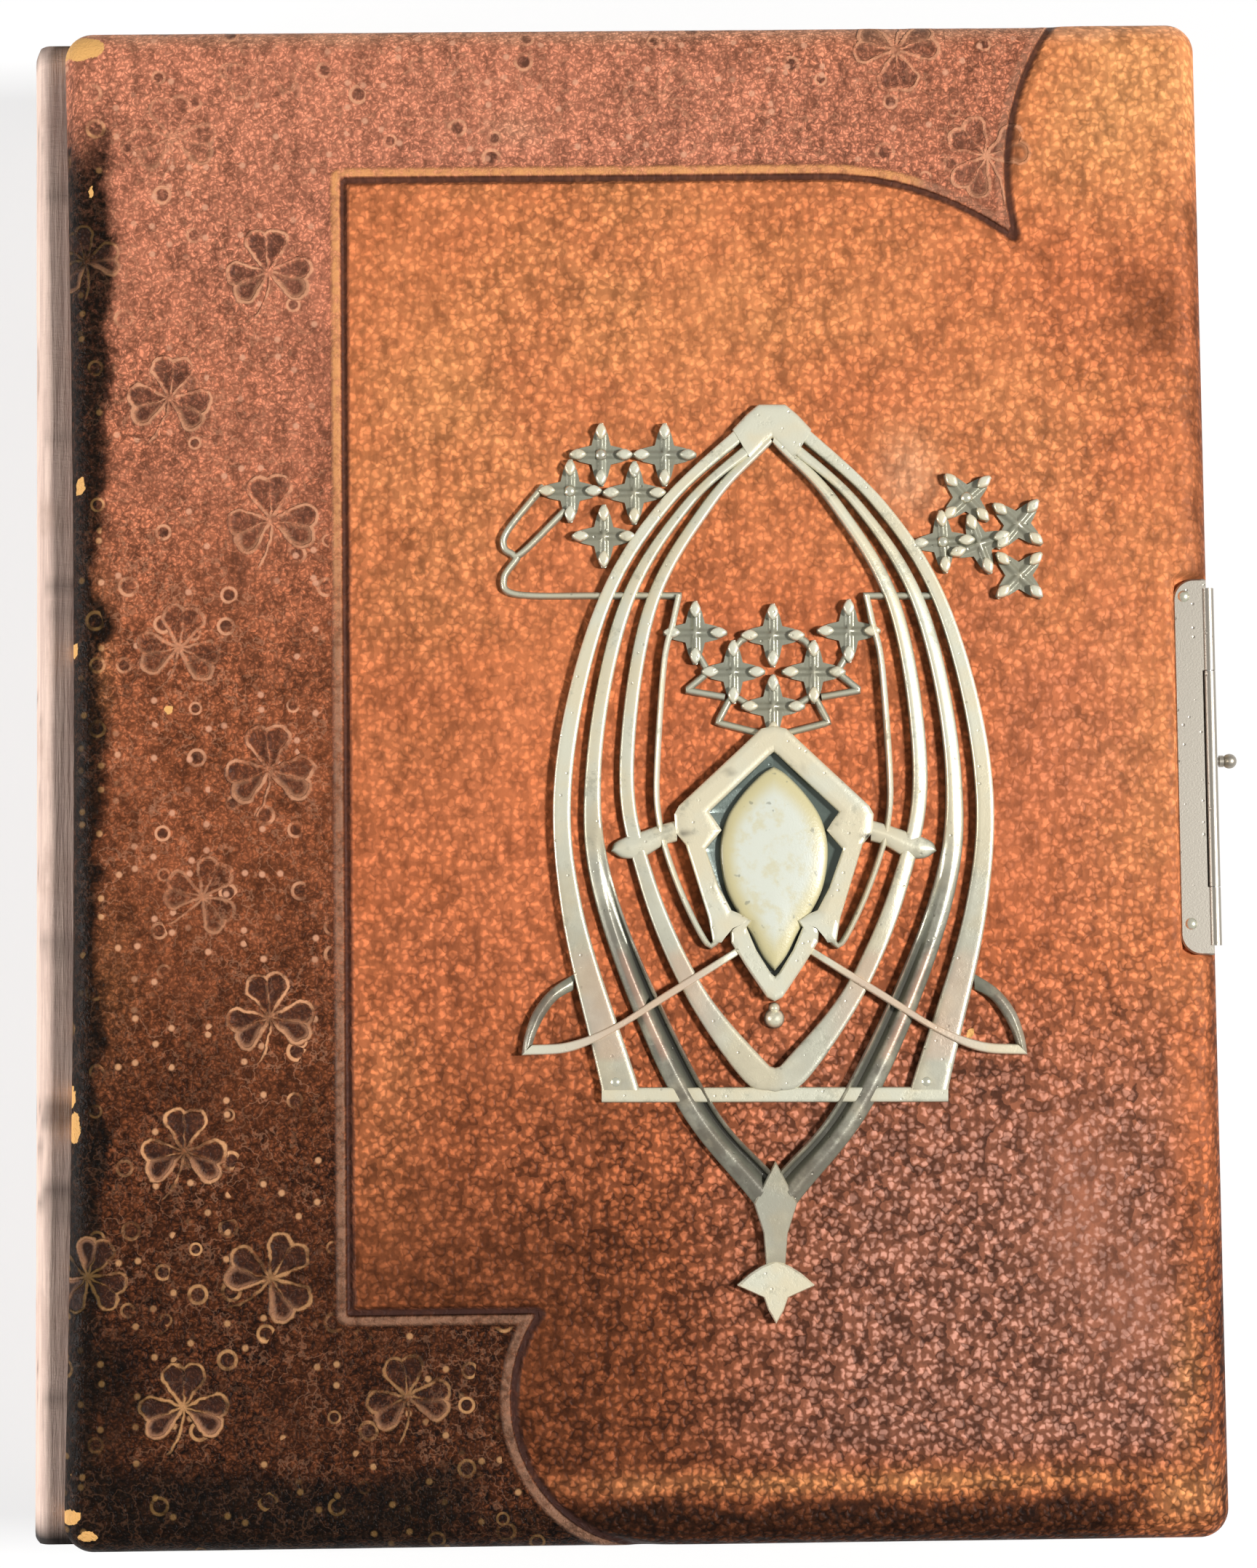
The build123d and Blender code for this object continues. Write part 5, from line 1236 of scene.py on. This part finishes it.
class AlbumColours(bpy.types.PropertyGroup):
    """The album's colours."""
    tan: colour("Tan", (0.70, 0.20, 0.077), "Leather of the panel")
    gold: colour("Gold", (0.90, 0.37, 0.135), "Worn golden leather")
    russet: colour("Russet", (0.64, 0.175, 0.062), "Redder blotches of the panel")
    border: colour("Border", (0.42, 0.125, 0.052), "Leather of the pressed border")
    rose: colour("Rose", (0.65, 0.235, 0.135), "Faded leather at the head of the border")
    umber: colour("Umber", (0.14, 0.040, 0.014), "Dark stained leather")
    bloom: colour("Bloom", (0.47, 0.225, 0.16), "Dusty tops of the grain at the lower right")
    # pale bloom, and the painted sheen along the head edge
    ghost: colour("Ghost", (0.82, 0.47, 0.28), "Pale bloom on the leather")
    black: colour("Black", (0.010, 0.0045, 0.002), "Soot-dark staining at the edges")
    chip: colour("Chip", (0.78, 0.42, 0.14), "Bare fibres where the leather has chipped")
    line: colour("Line", (0.72, 0.34, 0.19), "Worn tops of pressed lines")
    lobe: colour("Lobe", (0.50, 0.24, 0.13), "Broad pale lobes of the clovers")
    dot: colour("Dot", (0.74, 0.36, 0.22), "Pale pressed dots")
    hollow: colour("Hollow", (0.035, 0.016, 0.012), "Dark hollows of pressed marks")
    # rubbed wear and a painted highlight on the raised bead
    bead: colour("Bead", (0.72, 0.32, 0.12), "Rubbed bead along the panel")
    bead_low: colour("Dull bead", (0.40, 0.205, 0.125), "Bead along the lower border")
    # painted shade in the groove along the panel
    groove: colour("Groove", (0.045, 0.02, 0.016), "Dirt in the groove along the panel")
    silver: colour("Silver", (0.72, 0.70, 0.55), "Casting's bright metal")
    champagne: colour("Champagne", (0.76, 0.68, 0.48), "Casting's warmer metal")
    pewter: colour("Pewter", (0.12, 0.105, 0.08), "Casting's duller lower parts")
    # painted shade on the bezel's floor, tinted green-grey
    recess: colour("Recess", (0.12, 0.15, 0.13), "Green-grey floor of the bezel")
    # tarnish on the casting and the stone's pits, and painted shade round the stone's foot
    tarnish: colour("Tarnish", (0.21, 0.21, 0.155), "Casting's dull film")
    # dirt in the pits, and painted shade in the channel and slots
    grime: colour("Grime", (0.045, 0.04, 0.032), "Dirt in the casting's recesses")
    copper: colour("Copper", (0.62, 0.36, 0.25), "Copper showing on the thin blades")
    stone: colour("Stone", (0.66, 0.675, 0.575), "Middle of the cabochon")
    stone_rim: colour("Stone rim", (0.60, 0.53, 0.29), "Rim of the cabochon")
    cloth: colour("Cloth", (0.86, 0.64, 0.53), "Spine cloth")
    cloth_dark: colour("Cloth shade", (0.68, 0.49, 0.41), "Shade between the cloth's fibres")
    cloth_soil: colour("Cloth soil", (0.42, 0.27, 0.20), "Soil on the cloth")
    nickel: colour("Nickel", (0.37, 0.335, 0.28), "Clasp's satin plate")
    nickel_dull: colour("Dull nickel", (0.26, 0.22, 0.17), "Clasp's dull film")
    paper: colour("Leaf card", (0.70, 0.58, 0.42), "Album leaves")
    foxing: colour("Foxing", (0.42, 0.28, 0.16), "Age stains on paper")


class CoverSettings(bpy.types.PropertyGroup):
    """Heights of the front cover's forms."""
    border_drop: bpy.props.FloatProperty(
        name="Border drop", description="How far the border lies below the panel, in millimetres",
        default=1.0)
    bead_rise: bpy.props.FloatProperty(
        name="Bead rise", description="Height of the bead above the border, in millimetres", default=0.65)
    groove_depth: bpy.props.FloatProperty(
        name="Groove depth", description="Depth of the groove beside the bead, in millimetres", default=0.7)
    clover_rise: bpy.props.FloatProperty(
        name="Clover rise", description="Height of the clovers' rims, in millimetres", default=0.34)
    spine_bow: bpy.props.FloatProperty(
        name="Spine bow", description="How far the worn spine edge bows in at mid height, in millimetres",
        default=1.7)


class StageSettings(bpy.types.PropertyGroup):
    """Camera and light."""
    place: bpy.props.FloatVectorProperty(
        name="Camera place", description="Where the camera stands", default=(-0.01249, -0.05132, 0.71156),
        subtype="TRANSLATION", unit="LENGTH")
    turn: bpy.props.FloatVectorProperty(
        name="Camera turn", description="Camera's rotation vector in radians",
        default=(0.0753, -0.0156, -0.0114))
    lens: bpy.props.FloatProperty(name="Lens", description="Focal length on a 36 mm sensor", default=101.02)
    world: bpy.props.FloatProperty(name="World", description="Strength of the even light", default=0.11)
    key: bpy.props.FloatProperty(name="Key", description="Power of the key lamp in watts", default=50.0)
    spine: bpy.props.FloatProperty(
        name="Spine lamp", description="Power of the low lamp on the spine in watts", default=4.4)


class AlbumStep(bpy.types.Operator):
    """One step of the album's making."""
    bl_options = {"REGISTER", "UNDO"}


class ALBUM_OT_cover(AlbumStep):
    """Build the padded front cover's leather"""
    bl_idname = "album.cover"
    bl_label = "Front cover leather"

    def execute(self, context):
        scene = context.scene
        shape, attributes = cover_surface(scene.album_cover)
        leather = cover_leather_finish(scene.album_colours)
        piece = build_piece("cover_leather", shape, leather, "front_cover", 0, attributes)
        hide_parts("front_leather", "front_padding", "front_board")
        return {"FINISHED"}


class ALBUM_OT_casting(AlbumStep):
    """Build the cast ornament and its stone"""
    bl_idname = "album.casting"
    bl_label = "Cast ornament"

    def execute(self, context):
        colours = context.scene.album_colours
        shape, local, dull = casting_shape()
        rise = local[:, 2]
        across, up = local[:, 0] / ORNAMENT["spread"], local[:, 1] / ORNAMENT["rise"]
        # inside: the bezel's floor round the stone, which the finish gives painted shade
        inside = smooth(0.36, 0.33, np.abs(across)) * smooth(1.5, 0.95, rise) * (up < 0.08) * (up > -0.57)
        # channel and slots: painted shade in the middle band's channel, and dark spots of painted shade for
        # the bezel's slots
        channel = smooth(1.3, 0.6, rise) * (up < -0.3) * (np.abs(across) < 0.8) * (rise > -0.1)
        slots = spots(local[:, 0], local[:, 1],
                      [(-16.5, -11.6, 0.9, 0.6, 1.0), (-8.2, -0.2, 0.6, 0.6, 0.7),
                       (5.9, 0.3, 0.6, 0.5, 0.5), (17.2, -12.2, 1.0, 0.6, 1.0)], 0.0)
        blade = smooth(0.2, 0.4, np.abs(across)) * smooth(-0.46, -0.5, up) * smooth(-0.77, -0.75, up) \
            * smooth(1.9, 2.2, rise)
        attributes = {"rise": np.clip(rise / 1.9, 0, 1), "inside": inside, "dull": dull,
                      "shade": np.maximum(0.75 * channel, slots * smooth(2.0, 2.6, rise)),
                      "copper": 0.5 * blade * smooth(1.2, 0.7, np.abs(across))}
        piece = build_piece("ornament_casting", shape, casting_finish(colours), "front_cover",
                            38, attributes)
        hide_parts("ornament_frame")
        shape, rim = cabochon_shape()
        stone = build_piece("cabochon_stone", shape, cabochon_finish(colours), "front_cover",
                            40, {"rim": rim})
        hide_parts("cabochon")
        return {"FINISHED"}


class ALBUM_OT_leaves(AlbumStep):
    """Build the block of card leaves"""
    bl_idname = "album.leaves"
    bl_label = "Leaves"

    def execute(self, context):
        colours = context.scene.album_colours
        card = paper_finish("leaf_card", colours.paper, colours.foxing, 30.0, layered=True)
        piece = build_piece("leaves", leaves_shape(), card, "block", 40)
        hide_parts("page_block")
        return {"FINISHED"}


class ALBUM_OT_spine(AlbumStep):
    """Build the spine's cloth in two halves"""
    bl_idname = "album.spine"
    bl_label = "Spine cloth"

    def execute(self, context):
        cloth = cloth_finish(context.scene.album_colours)
        for front, name, cover, strip in ((True, "spine_cloth_front", "front_cover", "front_hinge_strip"),
                                          (False, "spine_cloth_back", "back_cover", "back_hinge_strip")):
            shape, soil = cloth_half(front)
            piece = build_piece(name, shape, cloth, None, 50, {"soil": soil})
            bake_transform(piece)
            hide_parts(strip, "spine_cloth")
        return {"FINISHED"}


class ALBUM_OT_fittings(AlbumStep):
    """Give every carried-over CAD node its finish"""
    bl_idname = "album.fittings"
    bl_label = "Clasp, boards and papers"

    def execute(self, context):
        colours = context.scene.album_colours
        nickel = metal_finish("satin_nickel", colours.nickel, colours.nickel_dull, 0.05, 0.38)
        bright = metal_finish("pin_silver", colours.silver, colours.nickel_dull, 0.35, 0.26)
        steel = metal_finish("spring_steel", (0.42, 0.42, 0.41), (0.16, 0.15, 0.14), 0.4, 0.35)
        leather = plain_leather_finish(colours)
        paper = paper_finish("pastedown_paper", colours.paper, colours.foxing, 24.0)
        board = paper_finish("board_grey", (0.30, 0.26, 0.21), (0.20, 0.16, 0.12), 60.0)
        rows = {
            nickel: ["clasp_plate", "clasp_hasp", "latch_case", "latch_slide", "catch_plate", "latch_knob"],
            bright: ["ornament_pins", "clasp_nails", "catch_nails"],
            steel: ["clasp_hinge_pin", "latch_spring"],
            leather: ["back_leather"],
            paper: ["front_pastedown", "back_pastedown"],
            board: ["front_board", "back_board", "spine_board", "front_padding"],
        }
        for material, names in rows.items():
            for name in names:
                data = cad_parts[name].data
                data.materials.clear()
                data.materials.append(material)
        return {"FINISHED"}


class ALBUM_OT_stage(AlbumStep):
    """Set the floor, the lamps and the photograph's camera"""
    bl_idname = "album.stage"
    bl_label = "Stage"

    def execute(self, context):
        scene, stage = context.scene, context.scene.album_stage
        span = 4.0
        mesh = bpy.data.meshes.new("floor")
        mesh.from_pydata([(-span, -span, 0), (span, -span, 0), (span, span, 0), (-span, span, 0)], [],
                         [(0, 1, 2, 3)])
        floor = bpy.data.objects.new("floor", mesh)
        scene.collection.objects.link(floor)
        material, tree, shader, place = new_material("pale_floor")
        shader.inputs["Base Color"].default_value = (0.86, 0.86, 0.86, 1)
        shader.inputs["Roughness"].default_value = 0.9
        seen = seen_by(tree)
        glow = put(tree, "ShaderNodeEmission", {"Color": (1, 1, 1, 1), "Strength": 1.0})
        look = most(seen["Is Camera Ray"], seen["Is Glossy Ray"])
        look = most(look, seen["Is Transmission Ray"])
        joint = put(tree, "ShaderNodeMixShader", {0: look * 0.72, 1: shader.outputs[0], 2: glow.outputs[0]})
        feed(tree.nodes["Material Output"].inputs["Surface"], joint.outputs[0])
        mesh.materials.append(material)
        world = bpy.data.worlds.new("studio")
        world.use_nodes = True
        scene.world = world
        sky = world.node_tree.nodes["Background"]
        seen = seen_by(world.node_tree)
        look = most(seen["Is Camera Ray"], seen["Is Glossy Ray"] * 0.55)
        feed(sky.inputs["Strength"], most(look, stage.world))
        sky.inputs["Color"].default_value = (1, 1, 1, 1)
        for name, place, size, power in (("key_lamp", (1.3, -0.03, 1.6), 0.26, stage.key),
                                         ("spine_lamp", (-0.75, -0.05, 0.2), 0.3, stage.spine)):
            lamp = bpy.data.lights.new(name, "AREA")
            lamp.size, lamp.energy = size, power
            item = bpy.data.objects.new(name, lamp)
            item.location = place
            item.rotation_euler = (Vector((0, 0, 0.05)) - Vector(place)).to_track_quat("-Z", "Y").to_euler()
            scene.collection.objects.link(item)
        lens = bpy.data.cameras.new("photo_camera")
        lens.sensor_fit, lens.sensor_width, lens.lens = "HORIZONTAL", 36.0, stage.lens
        camera = bpy.data.objects.new("photo_camera", lens)
        turn = Vector(stage.turn)
        camera.matrix_world = Matrix.Translation(Vector(stage.place)) @ Matrix.Rotation(
            turn.length, 4, turn.normalized())
        scene.collection.objects.link(camera)
        scene.camera = camera
        scene.view_settings.view_transform = "Standard"
        return {"FINISHED"}


STEPS = (ALBUM_OT_cover, ALBUM_OT_casting, ALBUM_OT_leaves, ALBUM_OT_spine, ALBUM_OT_fittings, ALBUM_OT_stage)


class ALBUM_PT_steps(bpy.types.Panel):
    """Lists the album's steps"""
    bl_label = "Album"
    bl_idname = "ALBUM_PT_steps"
    bl_space_type = "VIEW_3D"
    bl_region_type = "UI"
    bl_category = "Album"

    def draw(self, context):
        for step in STEPS:
            self.layout.operator(step.bl_idname)
        for settings in (context.scene.album_cover, context.scene.album_stage, context.scene.album_colours):
            for name in settings.__annotations__:
                self.layout.prop(settings, name)


GROUPS = {"album_colours": AlbumColours, "album_cover": CoverSettings, "album_stage": StageSettings}


def register():
    for item in (*GROUPS.values(), *STEPS, ALBUM_PT_steps):
        bpy.utils.register_class(item)
    for name, group in GROUPS.items():
        setattr(bpy.types.Scene, name, bpy.props.PointerProperty(type=group))


def unregister():
    for name in GROUPS:
        delattr(bpy.types.Scene, name)
    for item in (ALBUM_PT_steps, *STEPS[::-1], *GROUPS.values()):
        bpy.utils.unregister_class(item)


def main():
    register()
    for step in STEPS:
        group, name = step.bl_idname.split(".")
        getattr(getattr(bpy.ops, group), name)()


if __name__ == "__main__":
    main()
